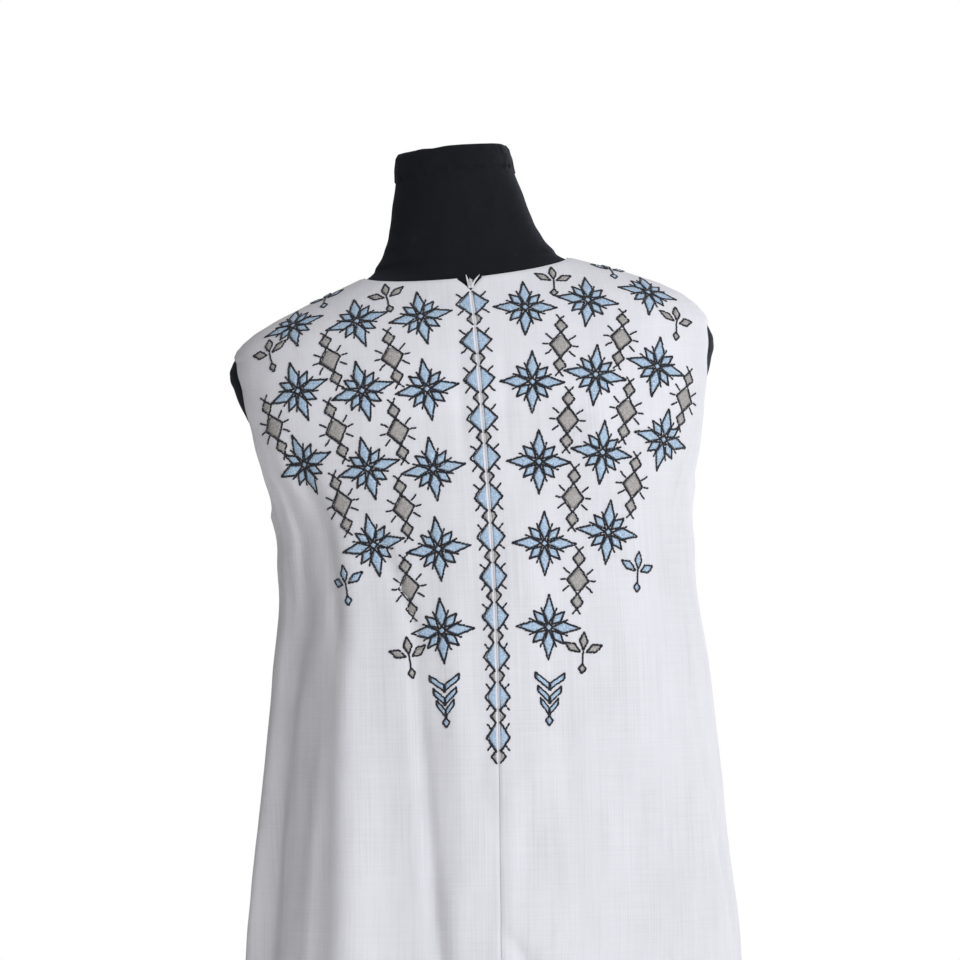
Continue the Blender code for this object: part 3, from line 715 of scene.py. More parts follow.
def painted_steel(name):
    """Satin black paint with faint orange peel."""
    material, shader = node_material(name, (0.018, 0.018, 0.019), 0.42)
    peel = noise(material, "Object", (420, 420, 420), 2.0, 0.5)
    patches = noise(material, "Object", (9, 9, 9), 3.0, 0.5)
    rough = add_node(material, "ShaderNodeMapRange", Value=patches, To_Min=0.36, To_Max=0.5)
    material.node_tree.links.new(rough.outputs[0], shader.inputs["Roughness"])
    bumped(material, shader, peel, 0.25, 0.0002)
    return material


def brushed_steel(name, tint, stretch, metallic=1.0):
    """Bright metal with fine brushing along one axis."""
    material, shader = node_material(name, tint, 0.3, metallic)
    lines = noise(material, "Object", stretch, 3.0, 0.6)
    rough = add_node(material, "ShaderNodeMapRange", Value=lines, To_Min=0.22, To_Max=0.42)
    material.node_tree.links.new(rough.outputs[0], shader.inputs["Roughness"])
    bumped(material, shader, lines, 0.2, 0.0001)
    return material


def pale_floor(name):
    """Plain pale studio floor, faintly lit from within, with soft clouds."""
    material, shader = node_material(
        name, (0.84, 0.835, 0.82), 0.7, Emission_Color=(1.0, 0.99, 0.98, 1), Emission_Strength=0.13)
    cloudy = noise(material, "Object", (1.2, 1.2, 1.2), 3.0, 0.5)
    colour = ramp(material, cloudy, [(0.3, (0.82, 0.815, 0.80)), (0.7, (0.86, 0.855, 0.84))])
    material.node_tree.links.new(colour, shader.inputs["Base Color"])
    return material


# Dress panels


def arc_table():
    """Distances round the body from centre back, for rows of heights and columns of angles, and
    the distance up the centre back line."""
    heights = np.linspace(HEM_HEIGHT, NECK_POINT_HEIGHT, 90)
    angles = np.linspace(-math.pi, 2 * math.pi, 721)
    points = cloth_point(angles[None, :], heights[:, None])
    run = run_along(points, axis=1)
    middle = np.searchsorted(angles, math.pi / 2)
    return heights, angles, run - run[:, middle:middle + 1], run_along(points[:, middle])


HEIGHTS, ANGLES, AROUND, CLIMB = arc_table()


def cut_place(angle, height):
    """Place on the flat cut: metres round the body from centre back, and up the centre back."""
    row = np.interp(height, HEIGHTS, np.arange(len(HEIGHTS)))
    column = np.interp(angle, ANGLES, np.arange(len(ANGLES)))
    low = np.minimum(row.astype(int), len(HEIGHTS) - 2)
    left = np.minimum(column.astype(int), len(ANGLES) - 2)
    up, right = row - low, column - left
    near = AROUND[low, left] * (1 - right) + AROUND[low, left + 1] * right
    far = AROUND[low + 1, left] * (1 - right) + AROUND[low + 1, left + 1] * right
    return np.stack([near * (1 - up) + far * up, np.interp(height, HEIGHTS, CLIMB)], axis=-1)


EDGE_DIP = 0.0007
EDGE_WIDTH = 0.0016
HEM_DEPTH = 0.028
HEM_RAISE = 0.0005
HEM_STEP = 0.002
FRONT_CENTRE_ROWS = LOW_ROWS + FRONT_CENTRE_TOP_ROWS
BACK_COLUMNS = 88
FRONT_COLUMNS = 72


def edge_shape(points, height, front):
    """How far the finished edges move a panel's grid outwards: a dip of EDGE_DIP at all four edges,
    exp(-(distance / EDGE_WIDTH)^2), and a slight raise where the hem is turned up. The centre front
    lies on the fold of the cut, so there the nearest edge is the neckline above."""
    run, rise = run_along(points, axis=1), run_along(points)
    below = np.maximum(rise[FRONT_CENTRE_ROWS - 1, 0] - rise[:, :1], 0) if front else 0.0
    nearest = np.minimum(np.hypot(run, below), run[:, -1:] - run)
    nearest = np.minimum(nearest, rise[-1:] - rise)
    dip = -EDGE_DIP * np.exp(-((nearest / EDGE_WIDTH) ** 2))
    hem = HEM_RAISE * (1 - smooth((height - HEM_HEIGHT - HEM_DEPTH) / HEM_STEP))
    return dip + hem


def facing_behind(angle, height):
    """1 where the facing lies behind the cloth and 0 below its lower edge, which drops towards the
    sides with the square of the angle from the centre."""
    away = 1 - np.abs(np.sin(angle))
    edge = FACING_HEIGHT - FACING_DROP * away
    return smooth((height - edge) / FACING_STEP + 0.5)


def panel_grid(side, front, columns):
    """Points, cut places and facing values of a half panel's grid."""
    from_side, height = half_panel(front, columns)
    angle = whole_angle(from_side, side, front)
    points = cloth_point(angle, height)
    points = points + cloth_normal(angle, height) * edge_shape(points, height, front)[..., None]
    return points, cut_place(angle, height), facing_behind(angle, height)


def back_panel(name, side, material):
    """A back half as a thin shell whose middle is the solid's."""
    points, uv, facing = panel_grid(side, False, BACK_COLUMNS)
    faces = grid_faces(grid_index(points))[:, ::-side]
    return walled(new_piece(name, points, faces, material, uv, facing), SHELL_THICK)


def front_panel(name, material):
    """Both halves in one mesh, which share the centre front up to the neckline."""
    left, left_uv, left_facing = panel_grid(1, True, FRONT_COLUMNS)
    right, right_uv, right_facing = panel_grid(-1, True, FRONT_COLUMNS)
    # The cut of the front is measured from its own centre, so both halves meet in one place
    left_uv = left_uv - left_uv[:1, :1] * (1, 0)
    right_uv = right_uv - right_uv[:1, :1] * (1, 0)
    left_index = grid_index(left)
    right_index = left_index + left_index.size
    right_index[:FRONT_CENTRE_ROWS, 0] = left_index[:FRONT_CENTRE_ROWS, 0]
    faces = np.concatenate([grid_faces(left_index), grid_faces(right_index)[:, ::-1]])
    used, faces = np.unique(faces, return_inverse=True)
    points = np.concatenate([left.reshape(-1, 3), right.reshape(-1, 3)])[used]
    uv = np.concatenate([left_uv.reshape(-1, 2), right_uv.reshape(-1, 2)])[used]
    facing = np.concatenate([left_facing.ravel(), right_facing.ravel()])[used]
    faces = faces.reshape(-1, 4)[:, ::-1]
    return walled(new_piece(name, points, faces, material, uv, facing), SHELL_THICK)


def swept(name, path, outward, half_width, half_thick, material, sides=8):
    """A band along a path, its oval section half_width along the cross of heading and outward and
    half_thick along outward, with its ends closed."""
    heading = unit(np.gradient(path, axis=0))
    sideways = unit(np.cross(heading, outward))
    turn = np.linspace(0, 2 * math.pi, sides, endpoint=False)
    half_width = np.broadcast_to(half_width, len(path))[:, None, None]
    half_thick = np.broadcast_to(half_thick, len(path))[:, None, None]
    ring = path[:, None] + sideways[:, None] * np.cos(turn)[None, :, None] * half_width
    ring = ring + outward[:, None] * np.sin(turn)[None, :, None] * half_thick
    index = np.arange(len(path) * sides).reshape(len(path), sides)
    faces = grid_faces(closed_round(index))[:, ::-1].tolist()
    faces += [index[0].tolist(), index[-1, ::-1].tolist()]
    across = np.cos(turn)[None, :] * half_width[:, :, 0]
    uv = np.stack(np.broadcast_arrays(run_along(path)[:, None], across), axis=-1)
    return new_piece(name, ring, faces, material, uv)


EDGE_HALF_WIDTH = 0.0013
EDGE_HALF_THICK = 0.0006
NECK_EDGE_POINTS = 60
ARMHOLE_EDGE_POINTS = 90


def turned_edge(name, angle, height, material):
    """The turned edge of a panel along a line of places, a flat oval roll."""
    normal = cloth_normal(angle, height)
    path = cloth_point(angle, height) - normal * EDGE_DIP
    return swept(name, path, normal, EDGE_HALF_WIDTH, EDGE_HALF_THICK, material)


def neck_line(front, side, count):
    """Places along half a neckline, from the centre to the shoulder."""
    height, from_side = neck_curve(front, np.linspace(1, 0, count))
    return whole_angle(from_side, side, front), height


def armhole_line(side, count):
    """Places round an armhole, from the underarm over the back to the shoulder and down the front."""
    sweep = np.linspace(0, math.pi, count)
    height, back = armhole_curve(False, sweep)
    front = armhole_curve(True, sweep)[1]
    angle = np.concatenate([whole_angle(back, side, False), whole_angle(front, side, True)[::-1][1:]])
    return angle, np.concatenate([height, height[::-1][1:]])


def make_dress(cloth):
    """The three panels, each by the solid that it replaces, and the turned edges."""
    pieces = {
        "dress_back_left": back_panel("cloth_back_left", 1, cloth),
        "dress_back_right": back_panel("cloth_back_right", -1, cloth),
        "dress_front": front_panel("cloth_front", cloth),
    }
    edges = []
    for side, hand in ((1, "left"), (-1, "right")):
        lines = {
            f"neck_edge_back_{hand}": neck_line(False, side, NECK_EDGE_POINTS),
            f"neck_edge_front_{hand}": neck_line(True, side, NECK_EDGE_POINTS),
            f"armhole_edge_{hand}": armhole_line(side, ARMHOLE_EDGE_POINTS),
        }
        edges += [turned_edge(name, *line, cloth) for name, line in lines.items()]
    for node, piece in pieces.items():
        belongs(piece, node)
    for edge in edges:
        belongs(edge)
    return pieces


# Embroidery: every stitched shape is a four-cornered patch, or a bare stroke of two points, in
# millimetres on its motif's own plane, x round the body and y up


def polar(radius, turn):
    """Point at a radius, turned clockwise in degrees from up."""
    return radius * math.sin(math.radians(turn)), radius * math.cos(math.radians(turn))


def kite(length, half_width, belly, root, turn):
    """A kite from its root out to its tip, widest at belly of its length, turned in degrees from up."""
    widest = root + (length - root) * belly
    corners = np.array([(0, root), (half_width, widest), (0, length), (-half_width, widest)])
    c, s = math.cos(math.radians(turn)), math.sin(math.radians(turn))
    return corners @ np.array([[c, -s], [s, c]])


def lozenge(x, y, half_width, half_height):
    """The four corners of a lozenge round (x, y)."""
    return np.array([
        (x, y - half_height), (x + half_width, y), (x, y + half_height), (x - half_width, y)])


def star():
    """An eight-pointed star of four long and four short kites round a small lozenge, with rays
    between them."""
    shapes = [kite(26.0, 4.4, 0.40, 3.4, quarter) for quarter in (0, 90, 180, 270)]
    shapes += [kite(17.5, 3.3, 0.45, 4.6, quarter + 45) for quarter in (0, 90, 180, 270)]
    shapes += [lozenge(0, 0, 2.6, 2.6)]
    shapes += [np.array([polar(12.5, turn), polar(18.0, turn)]) for turn in np.arange(22.5, 360, 45)]
    return shapes


def lozenges():
    """Three lozenges in a stack with the largest in the middle, a ray from each side and a stem at
    both ends."""
    shapes = [lozenge(0, 0, 8.6, 11.0), lozenge(0, 18.0, 4.6, 5.6), lozenge(0, -18.0, 4.6, 5.6)]
    for hand in (1, -1):
        for lift in (1, -1):
            shapes.append(np.array([(hand * 7.4, lift * 5.2), (hand * 12.6, lift * 9.6)]))
            shapes.append(np.array([(0, lift * 24.4), (hand * 3.6, lift * 28.6)]))
        shapes.append(np.array([(hand * 10.4, 0), (hand * 15.2, 0)]))
    return shapes


def chevrons():
    """Three pointed bars, one below the other, ever smaller."""
    shapes = []
    for y, half_width in ((11, 12), (0, 9.5), (-10, 7)):
        for hand in (1, -1):
            end = hand * half_width
            bar = np.array([(0, y - 6.5), (end, y + 2.4), (end, y + 6.6), (0, y - 1.8)])
            shapes.append(bar[::hand])
    shapes.append(lozenge(0, -21.5, 2.4, 3.2))
    return shapes


def sprig():
    """Three small kites on a stem with a bead at its foot."""
    shapes = [kite(17.0, 3.0, 0.5, 4.0, turn) for turn in (0, 62, -62)]
    shapes.append(np.array([(0, 2.5), (0, -9)]))
    shapes.append(lozenge(0, -12.5, 2.4, 3.2))
    return shapes


Motif = namedtuple("Motif", "angle height turn shapes colour")
Tier = namedtuple("Tier", "shape colour height rise first_x spacing count")
BACK_TIERS = [
    Tier(sprig, "grey", 1.3700, -0.006, 0.0705, 0.0520, 1),
    Tier(star, "blue", 1.3480, 0.006, 0.044, 0.0535, 3),
    Tier(lozenges, "grey", 1.3130, 0.006, 0.0705, 0.0520, 2),
    Tier(sprig, "grey", 1.3140, 0.010, 0.1720, 0.0500, 1),
    Tier(star, "blue", 1.2840, 0.008, 0.044, 0.0535, 3),
    Tier(lozenges, "grey", 1.2480, 0.012, 0.0705, 0.0510, 3),
    Tier(star, "blue", 1.2160, 0.014, 0.044, 0.0535, 3),
    Tier(lozenges, "grey", 1.1820, 0.018, 0.0705, 0.0510, 2),
    Tier(star, "blue", 1.1480, 0.020, 0.044, 0.0535, 2),
    Tier(lozenges, "grey", 1.1140, 0.020, 0.0705, 0.0510, 1),
    Tier(sprig, "blue", 1.1100, 0.020, 0.1200, 0.0500, 1),
    Tier(star, "blue", 1.0800, 0.012, 0.044, 0.0500, 1),
    Tier(sprig, "grey", 1.0560, 0.012, 0.0720, 0.0500, 1),
    Tier(chevrons, "blue", 1.0260, 0.000, 0.043, 0.0500, 1),
]
FRONT_TIERS = [
    Tier(star, "blue", 1.2640, 0.080, 0.030, 0.0530, 3),
    Tier(lozenges, "grey", 1.2250, 0.075, 0.0565, 0.0510, 2),
    Tier(star, "blue", 1.1980, 0.060, 0.030, 0.0530, 3),
    Tier(lozenges, "grey", 1.1600, 0.050, 0.0565, 0.0510, 2),
    Tier(star, "blue", 1.1300, 0.040, 0.030, 0.0530, 2),
    Tier(lozenges, "grey", 1.0960, 0.030, 0.0565, 0.0510, 1),
    Tier(star, "blue", 1.0640, 0.000, 0.030, 0.0500, 1),
    Tier(chevrons, "blue", 1.0120, 0.000, 0.030, 0.0500, 1),
]
FAN_CENTRE_HEIGHT = 1.75
RISE_REACH = 0.15


def tier_motifs(tiers, front):
    """The motifs of both sides: each tier's line rises from its height at the centre by rise times
    (x / RISE_REACH)^2, and its motifs are turned away from the fan's centre."""
    motifs = []
    for tier in tiers:
        for number in range(tier.count):
            x = tier.first_x + tier.spacing * number
            height = tier.height + tier.rise * (x / RISE_REACH) ** 2
            from_side = float(angle_from_side(x, height))
            tilt = math.degrees(math.atan2(x, FAN_CENTRE_HEIGHT - height))
            for side in (1, -1):
                angle = whole_angle(from_side, side, front)
                outward = side if front else -side
                motifs.append(Motif(angle, height, tilt * outward, tier.shape(), tier.colour))
    return motifs


# On the front or not, the height, and how far in from the oval's side
SHOULDER_SPRIGS = [
    (False, 1.3765, 0.013),
    (True, 1.3790, 0.015),
    (True, 1.3670, 0.015),
    (True, 1.3540, 0.015),
]
SHOULDER_TURN = 26


def shoulder_motifs():
    """Sprigs along both shoulder seams, on the back and the front."""
    motifs = []
    for front, height, inset in SHOULDER_SPRIGS:
        half_width = float(read_sections(DRESS_SECTIONS, height)[0])
        from_side = float(angle_from_side(half_width - inset, height))
        for side in (1, -1):
            angle = whole_angle(from_side, side, front)
            turn = SHOULDER_TURN * (side if front else -side)
            motifs.append(Motif(angle, height, turn, sprig(), "blue"))
    return motifs


# The motifs beside the zip end this far from it, in mm, with no outline there
ZIP_EDGE = 1.7
ZIP_BORDER_TOP = 1.3560
ZIP_BORDER_FOOT = 0.985
ZIP_BORDER_STEP = 0.0331


def zip_border():
    """Half lozenges along both edges of the zip, large ones and small ones in turn, with rays."""
    motifs = []
    heights = np.arange(ZIP_BORDER_TOP, ZIP_BORDER_FOOT, -ZIP_BORDER_STEP)
    for number, height in enumerate(heights):
        for side in (1, -1):
            hand = -side
            size = 13.0 - 0.35 * number
            edge = hand * ZIP_EDGE
            large = np.array([(edge, -11.0), (hand * size, 0), (edge, 11.0), (edge, 0.1)])[::hand]
            small = np.array([(edge, -20.4), (hand * 5.4, -16), (edge, -11.6), (edge, -16.1)])[::hand]
            rays = [
                np.array([(hand * size * 0.62, lift * 6.4), (hand * size, lift * 11.0)])
                for lift in (1, -1)]
            angle = whole_angle(float(angle_from_side(0.0, height)), side, False)
            motifs.append(Motif(angle, height, 0, [large, *rays], "blue"))
            motifs.append(Motif(angle, height, 0, [small], "grey"))
    return motifs


def patch_lifts(columns, rows):
    """Places across and up a unit square, and the crown's height there, 0 at its rim."""
    s, t = np.meshgrid(np.linspace(0, 1, columns), np.linspace(0, 1, rows), indexing="ij")
    crown = np.sqrt(np.maximum((1 - (2 * s - 1) ** 4) * (1 - (2 * t - 1) ** 4), 0))
    return s, t, crown


FILL_STEPS = 7
FILL_LIFT = 0.0007
FILL_SUNK = 0.0003
OUTLINE_LENGTH = 0.0036
OUTLINE_PITCH = 0.0025
OUTLINE_HALF_WIDTH = 0.00088
OUTLINE_LIFT = 0.0010
OUTLINE_SLANT = 6
OUTLINE_SLANT_UNEVEN = 5
OUTLINE_PLACE_UNEVEN = 0.00016
OUTLINE_LENGTH_UNEVEN = 0.12
OUTLINE_OUTSIDE = 0.0009
HEADING_STEP = 0.001
# Each stitch's place on the thread's pattern is this far from the last one's
GRAIN_UV_STEP = (0.0031, 0.0017)
HEM_STITCH_HEIGHT = HEM_HEIGHT + 0.0255
HEM_STITCH_PITCH = 0.0032
HEM_STITCH_LENGTH = 0.0026
HEM_STITCH_HALF_WIDTH = 0.00030
HEM_STITCH_LIFT = 0.00045


def turned_plane(points, turn):
    """Points of a motif's plane turned clockwise by degrees, millimetres made metres."""
    c, s = math.cos(math.radians(turn)), math.sin(math.radians(turn))
    return points @ np.array([[c, -s], [s, c]]) / 1000


def fill_patches(name, motifs, material):
    """Each shape as a low pillow: its corners blended over a grid, walked over the cloth, the upper
    side crowned and the lower side sunk a little into the cloth."""
    s, t, crown = patch_lifts(FILL_STEPS, FILL_STEPS)
    uvs, starts, offsets = [], [], []
    for motif in motifs:
        for shape in motif.shapes:
            if len(shape) == 2:
                continue
            a, b, c, d = turned_plane(shape, motif.turn)
            flat = (a * ((1 - s) * (1 - t))[..., None] + b * (s * (1 - t))[..., None]
                    + c * (s * t)[..., None] + d * ((1 - s) * t)[..., None])
            along = unit(c - a)
            uvs.append(np.stack([flat @ along, flat @ np.array([-along[1], along[0]])], axis=-1))
            offsets.append(flat)
            starts.append((motif.angle, motif.height))
    offsets, uvs, starts = np.array(offsets), np.array(uvs), np.array(starts)
    from_angle, from_height = starts[:, 0, None, None], starts[:, 1, None, None]
    angle, height = walk(from_angle, from_height, offsets[..., 0], offsets[..., 1])
    middle, normal = cloth_point(angle, height), cloth_normal(angle, height)
    top = middle + normal * (SHELL_THICK / 2 + crown * FILL_LIFT)[None, ..., None]
    bottom = middle + normal * (SHELL_THICK / 2 - crown * FILL_SUNK)[None, ..., None]
    count = s.size
    index = np.arange(count).reshape(s.shape)
    rim = np.zeros(s.shape, bool)
    rim[0], rim[-1], rim[:, 0], rim[:, -1] = True, True, True, True
    below = np.where(rim, index, index + count)
    one = np.concatenate([grid_faces(index)[:, ::-1], grid_faces(below)])
    number = np.arange(len(offsets))[:, None, None] * 2 * count
    faces = (one[None] + number).reshape(-1, 4)
    points = np.stack([top.reshape(-1, count, 3), bottom.reshape(-1, count, 3)], axis=1)
    points = points.reshape(-1, 3)
    uv = np.stack([uvs.reshape(-1, count, 2)] * 2, axis=1).reshape(-1, 2)
    used, faces = np.unique(faces, return_inverse=True)
    return new_piece(name, points[used], faces.reshape(-1, 4), material, uv[used])


def stitch_grains(name, centre, normal, along, length, half_width, lift, material):
    """Stitches as small closed grains on the cloth: three rings of five points between two tips,
    length along and half_width to each side, standing lift above the cloth."""
    sideways = np.cross(normal, along)
    ring_turn = np.linspace(0, 2 * math.pi, 5, endpoint=False) + math.pi / 10
    grain = [(-0.5, 0, 0.1)]
    for place, girth in ((-0.30, 0.85), (0.05, 1.0), (0.32, 0.8)):
        grain += [
            (place, girth * math.cos(turn), 0.3 + girth * 0.7 * math.sin(turn)) for turn in ring_turn]
    grain = np.array(grain + [(0.5, 0, 0.1)])
    points = centre[:, None] + along[:, None] * grain[None, :, :1] * np.reshape(length, (-1, 1, 1))
    points = points + sideways[:, None] * grain[None, :, 1:2] * half_width
    points = points + normal[:, None] * (SHELL_THICK / 2 + grain[None, :, 2:] * lift)
    rings = np.arange(1, 16).reshape(3, 5)
    sides = grid_faces(closed_round(rings))
    first = [(0, rings[0, (k + 1) % 5], rings[0, k]) for k in range(5)]
    last = [(16, rings[2, k], rings[2, (k + 1) % 5]) for k in range(5)]
    number = np.arange(len(centre))[:, None, None] * len(grain)
    quads = (sides[None] + number).reshape(-1, 4).tolist()
    ends = (np.array(first + last)[None] + number).reshape(-1, 3).tolist()
    apart = np.arange(len(centre))[:, None, None] * GRAIN_UV_STEP
    uv = grain[None, :, :2] * (OUTLINE_LENGTH, half_width) + apart
    return new_piece(name, points, quads + ends, material, uv)


def outline_stitches(name, motifs, material, seed):
    """Stem stitches round each shape and along each bare stroke, a little slanted and uneven."""
    rng = np.random.default_rng(seed)
    places, headings, starts = [], [], []
    for motif in motifs:
        for shape in motif.shapes:
            corners = turned_plane(shape, motif.turn)
            at_zip = np.abs(np.abs(shape[:, 0]) - ZIP_EDGE) < 1e-6
            if len(corners) > 2:
                middle = corners.mean(axis=0)
                size = np.linalg.norm(corners - middle, axis=1).mean()
                corners = middle + (corners - middle) * (1 + OUTLINE_OUTSIDE / size)
                corners = np.concatenate([corners, corners[:1]])
                at_zip = np.append(at_zip, at_zip[:1])
            for start, end, bare in zip(corners[:-1], corners[1:], at_zip[:-1] & at_zip[1:]):
                if bare:
                    continue
                length = np.linalg.norm(end - start)
                count = max(1, round(length / OUTLINE_PITCH))
                share = (np.arange(count) + 0.5) / count
                places.append(start + (end - start) * share[:, None])
                headings.append(np.repeat([(end - start) / length], count, axis=0))
                starts.append(np.repeat([(motif.angle, motif.height)], count, axis=0))
    places, headings, starts = map(np.concatenate, (places, headings, starts))
    slant = np.radians(OUTLINE_SLANT + rng.normal(0, OUTLINE_SLANT_UNEVEN, len(places)))
    c, s = np.cos(slant), np.sin(slant)
    x, y = headings[:, 0], headings[:, 1]
    headings = np.stack([x * c - y * s, x * s + y * c], axis=-1)
    places = places + rng.normal(0, OUTLINE_PLACE_UNEVEN, places.shape)
    ahead = places + headings * HEADING_STEP
    at_angle, at_height = walk(starts[:, 0], starts[:, 1], places[:, 0], places[:, 1])
    to_angle, to_height = walk(starts[:, 0], starts[:, 1], ahead[:, 0], ahead[:, 1])
    centre, normal = cloth_point(at_angle, at_height), cloth_normal(at_angle, at_height)
    along = cloth_point(to_angle, to_height) - centre
    along = unit(along - normal * (along * normal).sum(-1, keepdims=True))
    uneven = rng.uniform(-OUTLINE_LENGTH_UNEVEN, OUTLINE_LENGTH_UNEVEN, len(places))
    length = OUTLINE_LENGTH * (1 + uneven)
    return stitch_grains(
        name, centre, normal, along, length, OUTLINE_HALF_WIDTH, OUTLINE_LIFT, material)


def hem_stitches(material):
    """One row of machine stitches round the hem, evenly spaced along the cloth."""
    angle = np.linspace(0, 2 * math.pi, 4001)
    line = cloth_point(angle, HEM_STITCH_HEIGHT + 0 * angle)
    run = run_along(line)
    count = round(run[-1] / HEM_STITCH_PITCH)
    place = np.interp((np.arange(count) + 0.5) / count * run[-1], run, angle)
    height = HEM_STITCH_HEIGHT + 0 * place
    normal = cloth_normal(place, height)
    centre = cloth_point(place, height) + normal * HEM_RAISE
    along = unit(cloth_tangents(place, height)[0])
    length = np.full(count, HEM_STITCH_LENGTH)
    return stitch_grains(
        "stitching_hem", centre, normal, along, length, HEM_STITCH_HALF_WIDTH, HEM_STITCH_LIFT, material)


def make_embroidery(blue, grey, dark, white):
    """The hem's stitches, the filled shapes in both colours, and the outlines of each half."""
    shoulder = shoulder_motifs()
    behind = [motif for motif in shoulder if motif.angle % math.tau < math.pi]
    before = [motif for motif in shoulder if motif.angle % math.tau > math.pi]
    places = {
        "back": tier_motifs(BACK_TIERS, False) + zip_border() + behind,
        "front": tier_motifs(FRONT_TIERS, True) + before,
    }
    made = [hem_stitches(white)]
    for number, (where, motifs) in enumerate(places.items()):
        for colour, material in (("blue", blue), ("grey", grey)):
            chosen = [motif for motif in motifs if motif.colour == colour]
            made.append(fill_patches(f"stitching_{colour}_{where}", chosen, material))
        left = [motif for motif in motifs if math.cos(motif.angle) > 0]
        right = [motif for motif in motifs if math.cos(motif.angle) <= 0]
        made.append(outline_stitches(f"stitching_outline_{where}_left", left, dark, 40 + number))
        made.append(outline_stitches(f"stitching_outline_{where}_right", right, dark, 50 + number))
    for piece in made:
        belongs(piece)


# Form and stand

# Rings up the form: from each height on, this far apart
FORM_RINGS = [(FORM_FOOT_HEIGHT, 0.0037), (1.300, 0.00125)]
NECK_FOLD = 0.021
NECK_FOLD_STEP = 0.0012
NECK_FOLD_LIFT = 0.0011
LIP_DROP = 0.0035
LIP_WIDTH = 0.003
LIP_LIFT = 0.0007
GATHER_DEPTH = 0.0022
FORM_AROUND = 192
CAP_RINGS = 24
CAP_DENT = 0.001
# The jersey's pattern is laid out on a tube of this radius
JERSEY_RADIUS = 0.11


def form_point(angle, height):
    """The form's oval at a height, leaned."""
    x, y, _, _ = oval(FORM_SECTIONS, angle, height)
    return leaned(np.stack([x, y, height + 0 * x], axis=-1), FORM_FOOT_HEIGHT, FORM_LEAN_FULL)


def make_form(material):
    """The jersey cover over the form: its sides, a top whose gathers run to the middle, and a flat
    underside. At the top of the neck it is folded over, double for NECK_FOLD down to an uneven edge,
    with a lip along the top."""
    top = FORM_SECTIONS[-1].height
    angle = np.linspace(0, 2 * math.pi, FORM_AROUND, endpoint=False)[None, :]
    (foot, coarse), (shoulder, fine_step) = FORM_RINGS
    height = np.concatenate([
        np.linspace(foot, shoulder, round((shoulder - foot) / coarse)),
        np.linspace(shoulder, top, round((top - shoulder) / fine_step))[1:]])[:, None]
    sides = form_point(angle, height + 0 * angle)
    wobble = cell_noise(angle / (2 * math.pi) * 26 + 0 * height, 1.5 + 0 * angle + 0 * height, 26, 4, 5)
    fine = cell_noise(angle / (2 * math.pi) * 70 + 0 * height, height * 120 - 100, 70, 120, 6)
    outward = np.stack([np.cos(angle), np.sin(angle)], axis=-1)
    fold_foot = top - NECK_FOLD * (1 + 0.30 * wobble + 0.16 * fine)
    fold = smooth((height - fold_foot) / NECK_FOLD_STEP + 0.5)
    lip = np.exp(-(((height - top + LIP_DROP) / LIP_WIDTH) ** 2))
    push = fold * (NECK_FOLD_LIFT + 0.0004 * fine) + lip * LIP_LIFT * (1 + wobble)
    sides[..., :2] = sides[..., :2] + outward * push[..., None]
    sides[..., 2] = sides[..., 2] + np.exp(-(((height - top) / LIP_WIDTH) ** 2)) * LIP_LIFT * wobble
    share = np.linspace(1, 0, CAP_RINGS + 1)[1:-1, None]
    rim = sides[-1][None]
    centre = rim.mean(axis=1, keepdims=True)
    cap = centre + (rim - centre) * share[..., None]
    dent = GATHER_DEPTH * np.sin(math.pi * share) * (1 + 0.7 * wobble[-1:] + 0.4 * fine[-1:])
    cap[..., 2] = cap[..., 2] - dent
    foot_rim = sides[0][None]
    foot_centre = foot_rim.mean(axis=1, keepdims=True)
    foot = foot_centre + (foot_rim - foot_centre) * share[::-1][..., None]
    rings = np.concatenate([foot, sides, cap])
    index = grid_index(rings)
    faces = grid_faces(closed_round(index)).tolist()
    low, high = index.size, index.size + 1
    faces += [(low, index[0, (k + 1) % FORM_AROUND], index[0, k]) for k in range(FORM_AROUND)]
    faces += [(high, index[-1, k], index[-1, (k + 1) % FORM_AROUND]) for k in range(FORM_AROUND)]
    high_centre = centre.reshape(1, 3) - (0, 0, CAP_DENT)
    points = np.concatenate([rings.reshape(-1, 3), foot_centre.reshape(1, 3), high_centre])
    around = np.broadcast_to(angle * JERSEY_RADIUS, rings.shape[:2])
    side_uv = np.stack([around, rings[..., 2]], axis=-1).reshape(-1, 2)
    uv = np.concatenate([side_uv, [(0, 0.745), (0, 1.49)]])
    belongs(new_piece("form_cover", points, faces, material, uv), "form_torso")


def turned(name, profile, material, steps=128):
    """A turned solid: the profile of radius and height, from the axis at the top round its outer
    side to the axis at the bottom, carried round Z. The two points on the axis are single."""
    profile = np.array(profile, float)
    angle = np.linspace(0, 2 * math.pi, steps, endpoint=False)
    rim = profile[1:-1]
    points = np.stack([
        rim[:, :1] * np.cos(angle), rim[:, :1] * np.sin(angle), rim[:, 1:] + 0 * angle], axis=-1)
    index = np.arange(len(rim) * steps).reshape(len(rim), steps)
    faces = grid_faces(closed_round(index))[:, ::-1].tolist()
    high, low = index.size, index.size + 1
    faces += [(high, index[0, k], index[0, (k + 1) % steps]) for k in range(steps)]
    faces += [(low, index[-1, (k + 1) % steps], index[-1, k]) for k in range(steps)]
    points = np.concatenate([points.reshape(-1, 3), [(0, 0, profile[0, 1]), (0, 0, profile[-1, 1])]])
    piece = new_piece(name, points, faces, material)
    piece.data.set_sharp_from_angle(angle=math.radians(40))
    return piece


def rounded(radius, height, bend, start, end):
    """Points of a round edge whose circle has this centre and bend."""
    turn = np.radians(np.linspace(start, end, 9))
    return [(radius + bend * math.cos(a), height + bend * math.sin(a)) for a in turn]


